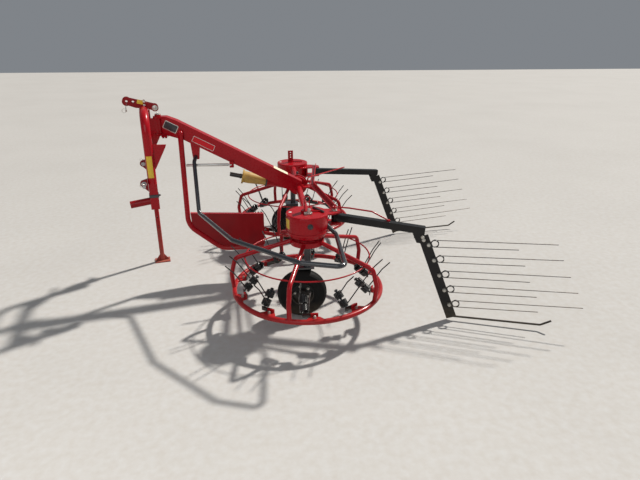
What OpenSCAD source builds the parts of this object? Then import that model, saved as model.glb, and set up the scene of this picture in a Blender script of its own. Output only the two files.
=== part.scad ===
// Twin rotor hay rake for a three point linkage, parked on its stand.
// Millimetres. +X points forward, +Y to the machine's left, +Z up, ground at z = 0.

/* [Frame] */
// Distance between the two rotor axes
rotor_spacing = 1500; // [1400:10:1650]
// Height of the cross tube's axis above the ground
cross_tube_z = 745; // [735:1:752]
// Diameter of the cross tube
cross_tube_d = 50; // [40:1:60]
// Depth of the boom's section, square to its length
boom_depth = 108; // [90:1:120]
// Width of the boom
boom_w = 80; // [60:1:100]
// Rise of the boom towards the front, in degrees
boom_rise = 28; // [24:0.5:30]
// Distance of the headstock pivot ahead of the rotor axes
pivot_x = 1045; // [980:5:1120]

/* [Gearboxes] */
// Radius of a drum shaped gearbox housing
drum_r = 142; // [130:1:155]
// Height of a drum's top above the ground
drum_top_z = 780; // [775:1:795]
// Height of a drum's seam above the ground
drum_seam_z = 662; // [650:1:668]
// Height of a drum's underside above the ground
drum_bottom_z = 612; // [606:1:620]
// Diameter of the splined input shaft
pto_shaft_d = 35; // [30:1:36]
// Rise of the input shaft towards the front, in degrees
pto_rise = 13; // [8:0.5:16]

/* [Rotors] */
// Radius of the rotor's main ring, at its tube's centre
ring_r = 515; // [480:1:530]
// Height of the main ring's tube centre
ring_z = 235; // [225:1:260]
// Diameter of the ring's and arms' tube
ring_tube_d = 34; // [28:1:38]
// Radius of the thin hoop
hoop_r = 430; // [410:1:445]
// Diameter of the thin hoop's rod
hoop_d = 10; // [8:1:12]
// Number of arms on a rotor
arm_count = 5; // [5:1:5]
// Diameter of the tine wire
tine_d = 8; // [6:0.5:10]
// Length of a tine wire
tine_len = 250; // [180:5:260]
// Diameter of a tine's coil
coil_d = 60; // [50:1:66]

/* [Wheels] */
// Diameter of a tyre
tyre_d = 353; // [340:1:366]
// Width of a tyre
tyre_w = 90; // [80:1:100]
// Distance of the wheel axle ahead of the rotor axis
axle_x = 40; // [0:1:50]
// Diameter of the wheel axle
axle_d = 25; // [20:1:30]
// Diameter of the leg inside a rotor
leg_d = 50; // [44:1:80]

/* [Headstock] */
// Distance between the centres of the hoop's legs
leg_span = 640; // [600:5:660]
// Diameter of the hoop's tube
mast_d = 62; // [50:1:66]
// Height of the hoop's top, at its tube's centre
mast_top_z = 1375; // [1340:5:1400]
// Height of the lower end of the hoop's legs
mast_bottom_z = 712; // [690:1:730]
// Swing of the headstock to the left as it stands, in degrees
swing = 12; // [0:1:14]
// Diameter of a lower link pin
lower_pin_d = 22; // [20:1:24]
// Bore of the top link plates
top_bore_d = 19.4; // [18:0.1:22]
// Diameter of the parking stand's tube
stand_d = 38; // [30:1:42]

/* [Gates] */
// Length of a gate's arm
gate_arm_len = 625; // [580:5:680]
// Side of a gate arm's square section
gate_arm_w = 48; // [40:1:52]
// Droop of the gate arms, in degrees
gate_droop = 4.5; // [2:0.5:5]
// Outward angle of the left gate, in degrees
gate_angle_left = 20; // [10:1:25]
// Outward angle of the right gate, in degrees
gate_angle_right = 7; // [0:1:20]
// Length of a curtain bar
curtain_len = 660; // [640:5:700]
// Width of a curtain bar
curtain_w = 70; // [55:1:80]
// Diameter of the curtain's spring wire
spring_wire_d = 7; // [5:0.5:8]

/* [Guards] */
// Diameter of the guard rail's tube
rail_d = 30; // [25:1:34]
// Height of the guard rail
rail_z = 650; // [645:1:670]
// Diameter of the red guard tube below the boom
guard_d = 40; // [34:1:46]
// Thickness of the guard sheet
sheet_t = 4; // [3:0.5:6]

/* [Hidden] */
$fn = 48;
// Gap between pieces that sit on each other
seat = 0.3;
// Gap on each side of a pin that turns
pin_gap = 0.3;
// Gap between a turning piece and what it passes
run_gap = 6;
// An elbow is a little thinner than its tube and reaches a little into it
elbow_step = 0.3;
elbow_lap = 1.5;
rotor_y = rotor_spacing / 2;
// Left side is the first row: side, gate angle, turn of the drum's flat bar
SIDES = [[1, gate_angle_left, 90], [-1, gate_angle_right, 8]];

function unit(v) = v / norm(v);
// Matrix that turns +Z to direction w and moves the origin to p
function frame_z(p, w) =
  let (z = unit(w), a = abs(z[2]) > 0.9 ? [1, 0, 0] : [0, 0, 1], x = unit(cross(a, z)), y = cross(z, x))
  [[x[0], y[0], z[0], p[0]], [x[1], y[1], z[1], p[1]], [x[2], y[2], z[2], p[2]], [0, 0, 0, 1]];

// Round bar between two points
module rod(a, b, d) {
  multmatrix(frame_z(a, b - a)) cylinder(d = d, h = norm(b - a));
}

// Centre of the elbow's arc at corner b, between points a and c
function elbow_hub(a, b, c, r) =
  let (u = unit(b - a), v = unit(c - b), n = unit(v - (u * v) * u)) b - u * r * tan(acos(u * v) / 2) + n
    * r;

// Elbow of a bent bar at corner b, between points a and c
module elbow(a, b, c, d, r) {
  u = unit(b - a);
  v = unit(c - b);
  turn = acos(u * v);
  n = unit(v - (u * v) * u);
  hub = elbow_hub(a, b, c, r);
  w = cross(-n, u);
  lap = elbow_lap / r * 180 / PI;
  multmatrix([[-n[0], u[0], w[0], hub[0]], [-n[1], u[1], w[1], hub[1]], [-n[2], u[2], w[2], hub[2]],
    [0, 0, 0, 1]])
    rotate([0, 0, -lap]) rotate_extrude(angle = turn + 2 * lap) translate([r, 0])
      circle(d = d - elbow_step);
}

// Share of a side that an elbow of radius r takes at corner i
function trim_at(pts, i, r) =
  (i == 0 || i == len(pts) - 1) ? 0 : r * tan(acos(unit(pts[i] - pts[i - 1]) * unit(pts[i + 1]
    - pts[i])) / 2);

// Bent bar through the points, with one bend radius
module bent(pts, d, r) {
  for (i = [0 : len(pts) - 2]) {
    u = unit(pts[i + 1] - pts[i]);
    rod(pts[i] + u * trim_at(pts, i, r), pts[i + 1] - u * trim_at(pts, i + 1, r), d);
  }
  for (i = [1 : 1 : len(pts) - 2])
    elbow(pts[i - 1], pts[i], pts[i + 1], d, r);
}

// Moves the machine so that the middle of its length and width is at the origin
module place() { translate([-frame_mid_x, -frame_mid_y, 0]) children(); }

// Plate that lies in the vertical plane, its outline given as [x, z]
module side_plate(outline, y, t) { translate([0, y + t / 2, 0]) rotate([90, 0, 0]) linear_extrude(t)
  polygon(outline); }

// Boom: its axis runs from above the cross tube up to the headstock pivot
boom_z0 = cross_tube_z + 7;
function boom_z(x) = boom_z0 + x * tan(boom_rise);
boom_half = boom_depth / 2 / cos(boom_rise);
boom_front_x = pivot_x - 62;
boom_rear_x = -26;
collar_r = cross_tube_d / 2 + 12;
collar_half = boom_w / 2 + 9;

module boom() {
  color("crimson") place() difference() {
    union() {
      side_plate([
        [boom_rear_x, boom_z(boom_rear_x) - boom_half + 12], [boom_rear_x, boom_z(boom_rear_x) + boom_half],
        [boom_front_x - 70, boom_z(boom_front_x - 70) + boom_half],
          [boom_front_x, boom_z(boom_front_x) + boom_half - 10],
        [boom_front_x, boom_z(boom_front_x) - boom_half - 26],
          [boom_front_x - 120, boom_z(boom_front_x - 120) - boom_half],
        [20, boom_z(20) - boom_half]], 0, boom_w);
      translate([0, -collar_half, cross_tube_z]) rotate([-90, 0, 0])
        cylinder(r = collar_r, h = 2 * collar_half);
    }
    translate([0, -collar_half - 1, cross_tube_z]) rotate([-90, 0, 0])
      cylinder(r = cross_tube_d / 2 + seat, h = 2 * collar_half + 2);
  }
}

// Headstock pivot: a vertical pin between two lugs on the boom's front
pivot_low_z = boom_z(boom_front_x) - boom_half - 26;
pivot_high_z = boom_z(boom_front_x) + boom_half - 10;
lug_t = 14;
pivot_pin_d = 30;
knuckle_r = 36;

module pivot_lugs() {
  color("crimson") place() {
    for (z = [pivot_low_z, pivot_high_z - lug_t])
      translate([0, 0, z]) linear_extrude(lug_t) difference() {
        union() {
          translate([pivot_x, 0]) circle(r = knuckle_r);
          translate([boom_front_x + seat, -boom_w / 2]) square([pivot_x - boom_front_x - seat, boom_w]);
        }
        translate([pivot_x, 0]) circle(d = pivot_pin_d + 2 * pin_gap);
      }
    // web behind the lugs, against the boom's front face
    translate([boom_front_x + seat, -boom_w / 2, pivot_low_z])
      cube([10, boom_w, pivot_high_z - pivot_low_z]);
    // plate under the lower lug, with its nuts
    translate([boom_front_x + seat, -boom_w / 2 - 14, pivot_low_z - 10])
      cube([pivot_x - boom_front_x - 20, boom_w + 28, 10]);
    for (x = [12, 32], y = [-38, 38])
      translate([boom_front_x + x, y, pivot_low_z - 20]) cylinder(d = 16, h = 11, $fn = 6);
  }
}

module cross_tube() {
  reach = rotor_y - sqrt(pow(drum_r + seat, 2) - pow(cross_tube_d / 2, 2));
  color("crimson") place() difference() {
    translate([0, -rotor_y, cross_tube_z]) rotate([-90, 0, 0])
      cylinder(d = cross_tube_d, h = rotor_spacing);
    for (s = [-1, 1])
      translate([0, s * rotor_y, drum_bottom_z]) cylinder(r = drum_r + seat, h = drum_top_z);
  }
}

// Centre gearbox, on the right of the boom's end, with the input shaft's nose
box_y0 = -collar_half - seat;
box_w = 96;
pto_y = -92;
pto_z0 = cross_tube_z - 26;
pto_dir = [cos(pto_rise), 0, sin(pto_rise)];
function pto_at(x) = [x / cos(pto_rise) * pto_dir[0], pto_y, pto_z0 + x * tan(pto_rise)];
nose_end_x = 250;
guard_end_x = 455;
shaft_end_x = 548;

module centre_gearbox() {
  color("crimson") place() difference() {
    union() {
      translate([0, box_y0, cross_tube_z - 6]) rotate([90, 0, 0]) cylinder(r = 74, h = box_w);
      translate([0, box_y0, cross_tube_z - 6]) rotate([90, 0, 0]) translate([0, 0, box_w / 2 - 8])
        cylinder(r = 82, h = 16);
      rod(pto_at(20), pto_at(nose_end_x), 62);
      rod(pto_at(nose_end_x - 14), pto_at(nose_end_x), 78);
    }
    translate([0, box_y0 + 1, cross_tube_z]) rotate([90, 0, 0])
      cylinder(r = cross_tube_d / 2 + seat, h = box_w + 2);
    rod(pto_at(120), pto_at(nose_end_x + 10), pto_shaft_d + 2 * pin_gap);
  }
}

module pto_shaft() {
  color("dimgray") place() {
    difference() {
      rod(pto_at(124), pto_at(shaft_end_x), pto_shaft_d);
      for (a = [0 : 60 : 300])
        multmatrix(frame_z(pto_at(shaft_end_x - 76), pto_dir)) rotate([0, 0, a])
          translate([pto_shaft_d / 2 - 2.5, -2, 0]) cube([6, 4, 100]);
    }
    rod(pto_at(shaft_end_x - 88), pto_at(shaft_end_x - 82), pto_shaft_d + 9);
  }
}

module pto_guard() {
  color("goldenrod") place()
    multmatrix(frame_z(pto_at(nose_end_x + seat), pto_dir)) rotate_extrude()
      polygon([[24, 0], [37, 0], [37, 40], [46, 150], [46, 190], [58, 194], [58, 206], [43, 206],
        [43, 150], [34, 42], [34, 8], [24, 8]]);
}

// Red guard tube below the boom, with the sheet between the rotors
guard_y = boom_w / 2 + seat + guard_d / 2;
guard_top_x = 885;
guard_low_z = 262;

guard_knee_z = 470;
sheet_rear_x = 290;
sheet_rear_z = 548;
sheet_front_z = 575;
// Front corners of the sheet's lower edge, where it follows the guard tube
sheet_knees = [[634, guard_low_z + guard_d / 2 + seat], [760, 352]];
brace_x = 515;

guard_top_z = boom_z(guard_top_x) - 36;
guard_pts = [[guard_top_x, guard_y, guard_top_z], [guard_top_x + 8, guard_y, guard_knee_z],
  [640, guard_y, guard_low_z], [300, guard_y, guard_low_z]];

module guard_run(d) { bent(guard_pts, d, 150); }

module guard_tube() {
  color("crimson") place() guard_run(guard_d);
}

module guard_sheet() {
  color("firebrick") place() difference() {
    side_plate([[guard_top_x - 16, sheet_front_z], [sheet_rear_x, sheet_rear_z],
      [sheet_rear_x, guard_low_z + guard_d / 2 + seat], sheet_knees[0], sheet_knees[1],
      [guard_top_x - 22, guard_knee_z]], guard_y, sheet_t);
    guard_run(guard_d + 2 * seat);
  }
}

module guard_brace() {
  brace_z = boom_z(brace_x - 5) - boom_half - 12;
  color("silver") place() {
    difference() {
      rod([guard_top_x, guard_y, brace_z + 8], [brace_x + 5, guard_y, brace_z + 4], 14);
      guard_run(guard_d + 2 * seat);
    }
    translate([brace_x - 10, boom_w / 2 + seat, brace_z - 14]) cube([30, guard_y - boom_w / 2 + 4, 44]);
  }
}

// Bracket under the boom that carries the guard rail's front end
rail_foot_x = 790;
rail_foot_drop = 90;
rail_foot_z = boom_z(rail_foot_x) - boom_half - rail_foot_drop;
bracket_t = 36;
bracket_half = 34;

module rail_bracket() {
  color("crimson") place() difference() {
    side_plate([[rail_foot_x - bracket_half, boom_z(rail_foot_x - bracket_half) - boom_half - seat],
      [rail_foot_x + bracket_half, boom_z(rail_foot_x + bracket_half) - boom_half - seat],
      [rail_foot_x + rail_d / 2 + 8, rail_foot_z - 24],
        [rail_foot_x - rail_d / 2 - 8, rail_foot_z - 24]], 0, bracket_t);
    rail_run(rail_d + 2 * seat);
  }
}

// Guard rail of the left side: it drops from the boom and runs round the rotor in plan
rail_out_y = rotor_y + 622;
rail_bend_r = 44;
rail_back_x = -185;
rail_pts = [
  [rail_foot_x, 4, rail_foot_z], [rail_foot_x + 10, 75, rail_foot_z - 30], [770, 294, rail_z],
    [501, 874, rail_z],
  [91, 1284, rail_z], [rail_back_x + 20, rail_out_y, rail_z], [rail_back_x, rotor_y + 96, rail_z],
  [-drum_r + 30, rotor_y + 4, 708]];

module rail_run(d) { bent(rail_pts, d, rail_bend_r); }

module guard_rail() {
  color("dimgray") place() difference() {
    rail_run(rail_d);
    translate([0, rotor_y, 0]) cylinder(r = drum_r + seat, h = 2000);
  }
}

// Pieces of the headstock, drawn straight with the pivot at the origin, then swung
module at_headstock() { place() translate([pivot_x, 0, 0]) rotate([0, 0, swing]) children(); }
hoop_x = 95;
bridge_z = 1135;
bridge_top_z = bridge_z + 40;
half_span = leg_span / 2;
foot_box_z = 900;
hoop_bend_r = 130;
gusset_len = 92;
gusset_drop = 175;

module headstock_hoop() {
  color("crimson") at_headstock() {
    bent([[hoop_x, half_span, foot_box_z], [hoop_x, half_span, mast_top_z],
      [hoop_x, -half_span, mast_top_z],
      [hoop_x, -half_span, foot_box_z]], mast_d, hoop_bend_r);
    for (s = [-1, 1]) {
      translate([hoop_x - mast_d / 2 + 1, s * half_span - mast_d / 2 + 1, mast_bottom_z])
        cube([mast_d - 2, mast_d - 2, foot_box_z - mast_bottom_z]);
    }
    // side gussets that brace the bridge plate behind the legs
    for (s = [-1, 1])
      side_plate([[hoop_x, bridge_top_z], [hoop_x - mast_d / 2 - gusset_len, bridge_top_z - 6],
        [hoop_x - mast_d / 2 - gusset_len + 8, bridge_top_z - 26],
          [hoop_x - mast_d / 2 - 4, bridge_top_z - gusset_drop],
        [hoop_x, bridge_top_z - gusset_drop - 10]], s * (half_span - 8), 10);
    // bridge plate between the legs, cut away in the middle
    translate([hoop_x - 8, 0, 0]) rotate([90, 0, 90]) linear_extrude(12) difference() {
      polygon([[-half_span, bridge_top_z], [half_span, bridge_top_z], [half_span, 960],
        [half_span - 60, 1000],
        [half_span - 150, bridge_z - 40], [-half_span + 150, bridge_z - 40], [-half_span + 60, 1000],
          [-half_span, 960]]);
    }
  }
}

module headstock_mast() {
  color("crimson") at_headstock() difference() {
    union() {
      // knuckle round the pivot pin, between the lugs
      translate([0, 0, pivot_low_z + lug_t + 1])
        cylinder(r = knuckle_r - 2, h = pivot_high_z - pivot_low_z - 2 * lug_t - 2);
      translate([0, -26, pivot_low_z + lug_t + 1])
        cube([hoop_x - mast_d / 2 - seat, 52, pivot_high_z - pivot_low_z - 2 * lug_t - 2]);
      // pin through both lugs, with its head
      translate([0, 0, pivot_low_z - 8]) cylinder(d = pivot_pin_d, h = pivot_high_z - pivot_low_z + 14);
      translate([0, 0, pivot_high_z + 1]) cylinder(d = 46, h = 10);
      // web down to the bridge, with its foot on the bridge's top edge
      translate([hoop_x - mast_d / 2 - 12, -26, bridge_top_z + seat])
        cube([12 - seat, 52, mast_top_z - bridge_top_z]);
      translate([hoop_x - mast_d / 2 - 12, -26, bridge_top_z + seat]) cube([mast_d / 2 + 16, 52, 14]);
    }
    translate([hoop_x, -80, mast_top_z]) rotate([-90, 0, 0]) cylinder(d = mast_d + 2 * seat, h = 160);
    translate([hoop_x - 8 - seat, -half_span, 900])
      cube([12 + 2 * seat, leg_span, bridge_top_z + seat - 900]);
  }
}

// Top link plates: two plates over the hoop, with two holes at the front
plate_y = 26;
plate_t = 10;
top_hole_x = 205;
top_hole_z = mast_top_z + 66;

module top_link_plates() {
  hole_back = 44;
  tail_x = 14;
  tail_z = mast_top_z + 12;
  color("firebrick") at_headstock() {
    for (s = [-1, 1])
      difference() {
        translate([0, s * (plate_y + plate_t / 2) + plate_t / 2, 0]) rotate([90, 0, 0])
          linear_extrude(plate_t) difference() {
          union() {
            translate([top_hole_x, top_hole_z]) circle(r = 30);
            translate([tail_x, tail_z + 4]) circle(r = 26);
            polygon([[top_hole_x + 6, top_hole_z + 29], [tail_x + 4, tail_z + 30],
              [tail_x - 6, tail_z - 21],
              [hoop_x - 20, mast_top_z + 14], [hoop_x + 50, mast_top_z + 20],
                [top_hole_x - 10, top_hole_z - 28]]);
          }
          translate([top_hole_x, top_hole_z]) circle(d = top_bore_d);
          translate([top_hole_x - hole_back, top_hole_z - 4]) circle(d = top_bore_d);
          translate([tail_x, tail_z + 4]) circle(d = 20);
        }
        translate([hoop_x, -80, mast_top_z]) rotate([-90, 0, 0]) cylinder(d = mast_d + 2 * seat, h = 160);
      }
    // bolt through the plates' tails
    translate([tail_x, -plate_y - plate_t - 12, tail_z + 4]) rotate([-90, 0, 0])
      cylinder(d = 20, h = 2 * (plate_y + plate_t + 12));
    // spacer between the plates, on the hoop's crown
    difference() {
      translate([hoop_x - 34, -plate_y, mast_top_z + mast_d / 2 - 14]) cube([68, 2 * plate_y, 34]);
      translate([hoop_x, -80, mast_top_z]) rotate([-90, 0, 0]) cylinder(d = mast_d + 2 * seat, h = 160);
    }
  }
}

// Lower link lugs ahead of the legs, with the pins that point outwards
lower_pin_x = hoop_x + 58;
lower_pin_z = 905;
lower_pin_y = 341.5;
pin_reach = 92;
pin_collar_t = 6;
lug_w = 20;

module lower_link_lugs() {
  color("firebrick") at_headstock() for (s = [-1, 1])
    translate([0, s * (lower_pin_y - lug_w / 2) + lug_w / 2, 0]) rotate([90, 0, 0]) linear_extrude(lug_w)
      difference() {
      union() {
        translate([lower_pin_x, lower_pin_z]) circle(r = 26);
        polygon([[hoop_x + mast_d / 2 + seat, lower_pin_z + 34],
          [hoop_x + mast_d / 2 + seat, lower_pin_z - 60],
          [lower_pin_x + 8, lower_pin_z - 24], [lower_pin_x + 6, lower_pin_z + 25]]);
      }
      translate([lower_pin_x, lower_pin_z]) circle(d = lower_pin_d + 0.4);
    }
}

module lower_link_pins() {
  color("silver") at_headstock() for (s = [-1, 1])
    mirror([0, s > 0 ? 0 : 1, 0]) {
      translate([lower_pin_x, lower_pin_y - lug_w - 22, lower_pin_z]) rotate([-90, 0, 0])
        difference() {
          cylinder(d = lower_pin_d, h = lug_w + 22 + pin_reach);
          translate([-40, 0, lug_w + 22 + pin_reach - 16]) rotate([0, 90, 0]) cylinder(d = 10, h = 80);
        }
      translate([lower_pin_x, lower_pin_y + seat, lower_pin_z]) rotate([-90, 0, 0])
        cylinder(d = lower_pin_d + 14, h = pin_collar_t);
      translate([lower_pin_x, lower_pin_y - lug_w - 16, lower_pin_z]) rotate([-90, 0, 0])
        difference() {
          cylinder(d = 36, h = 16 - seat, $fn = 6);
          translate([0, 0, -1]) cylinder(d = lower_pin_d - 1, h = 20);
        }
    }
}

module hitch_stub() {
  color("firebrick") at_headstock() difference() {
    rod([hoop_x, half_span, mast_bottom_z + 62], [hoop_x + 168, half_span, mast_bottom_z + 42], 52);
    rod([hoop_x + 70, half_span, mast_bottom_z + 54], [hoop_x + 175, half_span, mast_bottom_z + 41], 40);
    translate([0, 0, mast_bottom_z - 100]) cube([hoop_x + mast_d / 2 - 1 + seat, leg_span, 400]);
  }
}

// Parking stand: a tube that slides in a sleeve on the right leg's outer side
sleeve_t = 6;
stand_y = -half_span - mast_d / 2 + 1 - seat - sleeve_t - stand_d / 2 - 1;
sleeve_low_z = 625;
sleeve_top_z = 800;
stand_len = 880;
stand_foot_l = 130;
stand_foot_w = 100;
stand_foot_t = 8;

module stand_sleeve() {
  outer = stand_d + 2 * sleeve_t + 2;
  color("firebrick") at_headstock() difference() {
    union() {
      translate([hoop_x - outer / 2, stand_y - outer / 2, sleeve_low_z])
        cube([outer, outer, sleeve_top_z - sleeve_low_z]);
      translate([hoop_x - 20, stand_y - outer / 2 - 26, sleeve_low_z + 20]) cube([40, 26, 26]);
    }
    translate([hoop_x, stand_y, sleeve_low_z - 1]) cylinder(d = stand_d + 2 * pin_gap, h = 400);
  }
}

module parking_stand() {
  color("firebrick") at_headstock() translate([hoop_x, stand_y, 0]) {
    difference() {
      translate([0, 0, stand_foot_t]) cylinder(d = stand_d, h = stand_len);
      for (z = [330 : 90 : 870])
        translate([0, -stand_d, z]) rotate([-90, 0, 0]) cylinder(d = 13, h = 2 * stand_d);
    }
    translate([-stand_foot_l / 2, -stand_foot_w / 2, 0]) cube([stand_foot_l, stand_foot_w, stand_foot_t]);
    for (a = [0, 180])
      rotate([0, 0, a]) translate([0, 3, stand_foot_t]) rotate([90, 0, 0]) linear_extrude(6)
        polygon([[0, 0], [54, 0], [54, 6], [stand_d / 2 - 1, 56], [0, 56]]);
  }
}

module drum(s) {
  color("crimson") place() translate([0, s * rotor_y, 0]) {
    rotate_extrude() polygon([
      [0, drum_top_z], [drum_r - 8, drum_top_z], [drum_r - 2, drum_top_z - 2], [drum_r, drum_top_z - 8],
        [drum_r, drum_seam_z],
      [drum_r + 4, drum_seam_z], [drum_r + 4, drum_seam_z - 12], [drum_r - 3, drum_seam_z - 14],
        [drum_r - 12, drum_bottom_z + 14],
      [drum_r - 34, drum_bottom_z], [0, drum_bottom_z]]);
  }
}

// Upright flat bar with holes on a drum's top, with its base nut
module drum_bar(s, turn) {
  bar_h = 108;
  color("crimson") place() translate([16, s * rotor_y, drum_top_z + seat]) {
    rotate([0, 0, turn]) difference() {
      translate([-24, -4, 14]) cube([48, 8, bar_h - 14]);
      for (z = [46 : 22 : bar_h - 14])
        translate([0, -10, z]) rotate([-90, 0, 0]) cylinder(d = 11, h = 20);
    }
    cylinder(d = 50, h = 14, $fn = 6);
    translate([-8, 0, 0]) rod([0, 0, 6], [-100, 0, 6], 9);
  }
}

// Gate hinge: a pin between two plates that sit against the drum
hinge_x = -200;
hinge_y = 660;
hinge_pin_d = 20;
upper_plate_z = 744;
lower_plate_z = 666;
hinge_plate_t = 10;
strut_x = -112;
strut_w = 32;

module gate_bracket(s) {
  color("crimson") place() mirror([0, s > 0 ? 0 : 1, 0]) difference() {
    union() {
      for (z = [lower_plate_z, upper_plate_z])
        translate([0, 0, z]) linear_extrude(hinge_plate_t)
          polygon([[hinge_x - 42, hinge_y - 34], [-60, hinge_y - 62], [-60, rotor_y],
            [hinge_x + 20, hinge_y + 70],
            [hinge_x - 42, hinge_y + 34]]);
      translate([hinge_x, hinge_y, lower_plate_z - 8])
        cylinder(d = hinge_pin_d, h = upper_plate_z - lower_plate_z + 30);
      // web between the plates, against the drum
      translate([hinge_x + 66, hinge_y - 40, lower_plate_z]) cube([12, 90, upper_plate_z - lower_plate_z]);
      // angle strut from a foot behind the boom's collar out to the upper plate
      translate([strut_x - strut_w / 2, 4, upper_plate_z])
        cube([-strut_x - 10, collar_half - 6, hinge_plate_t]);
      multmatrix(frame_z([strut_x, 10, upper_plate_z + hinge_plate_t + strut_w / 2 - 1],
        [hinge_x - strut_x, hinge_y - 24, 0]))
        translate([-strut_w / 2, -strut_w / 2, 0]) difference() {
          cube([strut_w, strut_w, norm([hinge_x - strut_x, hinge_y - 24])]);
          translate([-1, 6, -1]) cube([strut_w - 5, strut_w, 1000]);
        }
    }
    translate([0, rotor_y, 0]) cylinder(r = drum_r + seat, h = 2000);
    translate([0, -1, cross_tube_z]) rotate([-90, 0, 0]) cylinder(r = collar_r + seat, h = rotor_y);
  }
}

// Rotor: hub round the leg, arms that bend down to the ring, thin hoop and tine brackets
hub_top_z = drum_bottom_z - run_gap;
hub_h = 46;
arm_phase = 36;
bend_r = ring_r - 18;
bend_z = 468;
bulge_r = ring_r + 12;
bulge_z = 352;
arm_d = ring_tube_d - 4;
arm_foot_r = 80;
arm_foot_z = hub_top_z - 18;
function arm_z(r) = arm_foot_z + (bend_z - arm_foot_z) * (r - arm_foot_r) / (bend_r - arm_foot_r);
hoop_z = arm_z(hoop_r) - arm_d / 2 - hoop_d / 2 + 3;
// Angles of the tine units round the ring, from the rear towards the outside: two between each pair of arms
unit_step = 180 / arm_count;
TINE_ANGLES = [for (i = [0 : 2 * arm_count - 1]) arm_phase + (i + 0.5) * unit_step];

// Radius of the hollow flare on each side of a tine bracket
flare_r = 46;

// Turns a rotor's own angle: 0 points to the rear, 90 to the machine's side
module at_rotor(s, a) {
  place() mirror([0, s > 0 ? 0 : 1, 0]) translate([0, rotor_y, 0]) rotate([0, 0, 180 - a]) children();
}

module tine_bracket() {
  translate([0, 0, ring_z - 4]) linear_extrude(8) difference() {
    polygon([[ring_r - 6, -70], [ring_r - 58, -70], [ring_r - 58, 70], [ring_r - 6, 70]]);
    for (side = [-1, 1])
      translate([ring_r - 64, side * (24 + flare_r)]) circle(r = flare_r);
  }
  translate([ring_r - 62, -24, ring_z - 4]) cube([10, 48, 34]);
}

module rotor_frame(s) {
  color("crimson") {
    at_rotor(s, 0) difference() {
      translate([0, 0, hub_top_z - hub_h]) union() {
        cylinder(r = 118, h = hub_h - 12);
        cylinder(r = 100, h = hub_h);
      }
      cylinder(d = leg_d + 2 * pin_gap, h = 2000);
    }
    at_rotor(s, 0) translate([0, 0, ring_z]) rotate_extrude() translate([ring_r, 0])
      circle(d = ring_tube_d);
    at_rotor(s, 0) translate([0, 0, hoop_z]) rotate_extrude() translate([hoop_r, 0]) circle(d = hoop_d);
    for (i = [0 : arm_count - 1])
      at_rotor(s, arm_phase + i * 360 / arm_count)
        bent([[arm_foot_r, 0, arm_foot_z], [bend_r, 0, bend_z], [bulge_r, 0, bulge_z],
          [ring_r, 0, ring_z]], arm_d, 46);
    for (a = TINE_ANGLES)
      at_rotor(s, a) tine_bracket();
  }
}

// Coil of a tine: a short revolved spring body with grooves
coil_turns = 4;
coil_len = 52;
coil_rise = 42;
tine_rise_low = 58;
tine_rise_high = 48;
coil_foot = 20;
tine_foot = coil_foot + 12;
// The coils stand beside the bracket
coil_shift = 62;
shank_r = ring_r - 62 - seat;
tine_tip_r = shank_r - tine_foot * cos(coil_rise) + tine_len * (0.7 * cos(tine_rise_low) + 0.3
  * cos(tine_rise_high));
function coil_profile() = [
  for (i = [0 : coil_turns]) each [[coil_d / 2 - 3.5, i * coil_len / coil_turns],
    if (i < coil_turns) [coil_d / 2, (i + 0.5) * coil_len / coil_turns]]];

module tines(s) {
  start = [shank_r, -coil_shift, ring_z + 14];
  inward = [-cos(coil_rise), 0, sin(coil_rise)];
  color("black") for (a = TINE_ANGLES)
    at_rotor(s, a) {
      // shank that lies against the bracket
      translate([shank_r - 6, -coil_shift - 14, ring_z - 2]) cube([6, coil_shift + 34, 30]);
      for (i = [0, 1])
        multmatrix(frame_z(start + inward * (coil_foot + i * (coil_len + 6)), inward))
          rotate_extrude() polygon(concat([[0, 0]], coil_profile(), [[0, coil_len]]));
      rod(start + inward * 10, start + inward * (coil_foot + 2 * coil_len + 14), 14);
      for (i = [0, 1]) {
        y = i == 0 ? coil_d / 2 - tine_d / 2 : -coil_d / 2 + tine_d / 2;
        foot = start + inward * (tine_foot + i * (coil_len + 10)) + [0, y, 0];
        knee = foot + tine_len * 0.7 * [cos(tine_rise_low), 0, sin(tine_rise_low)];
        tip = knee + tine_len * 0.3 * [cos(tine_rise_high), 0, sin(tine_rise_high)];
        bent([foot, knee, tip], tine_d, 30);
      }
    }
}

// Wheel leg: tube through the rotor hub, then a blade down to the axle on the inner side
axle_z = tyre_d / 2;
blade_y = tyre_w / 2 + 14;
blade_t = 10;

module wheel_leg(s) {
  foot_z = axle_z + tyre_d / 2 + 30;
  color("dimgray") place() mirror([0, s > 0 ? 0 : 1, 0]) translate([0, rotor_y, 0]) {
    translate([0, 0, foot_z - 6]) cylinder(d = leg_d, h = drum_bottom_z - foot_z + 6);
    translate([-45, -blade_y - blade_t, foot_z - 12]) cube([axle_x + 80, blade_y + blade_t + 36, 12]);
    translate([0, -blade_y, 0]) rotate([90, 0, 0]) linear_extrude(blade_t) union() {
      translate([axle_x, axle_z]) circle(r = 30);
      polygon([[axle_x - 30, axle_z], [-45, foot_z - 12], [-45, foot_z - 6],
        [axle_x + 35, foot_z - 6], [axle_x + 35, foot_z - 12], [axle_x + 30, axle_z]]);
    }
    translate([axle_x, -blade_y, axle_z]) rotate([-90, 0, 0])
      cylinder(d = axle_d, h = blade_y + tyre_w / 2 + 4);
    translate([axle_x, tyre_w / 2 + 4, axle_z]) rotate([-90, 0, 0])
      cylinder(d = axle_d + 12, h = 12, $fn = 6);
  }
}

rim_r = 82;

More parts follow.
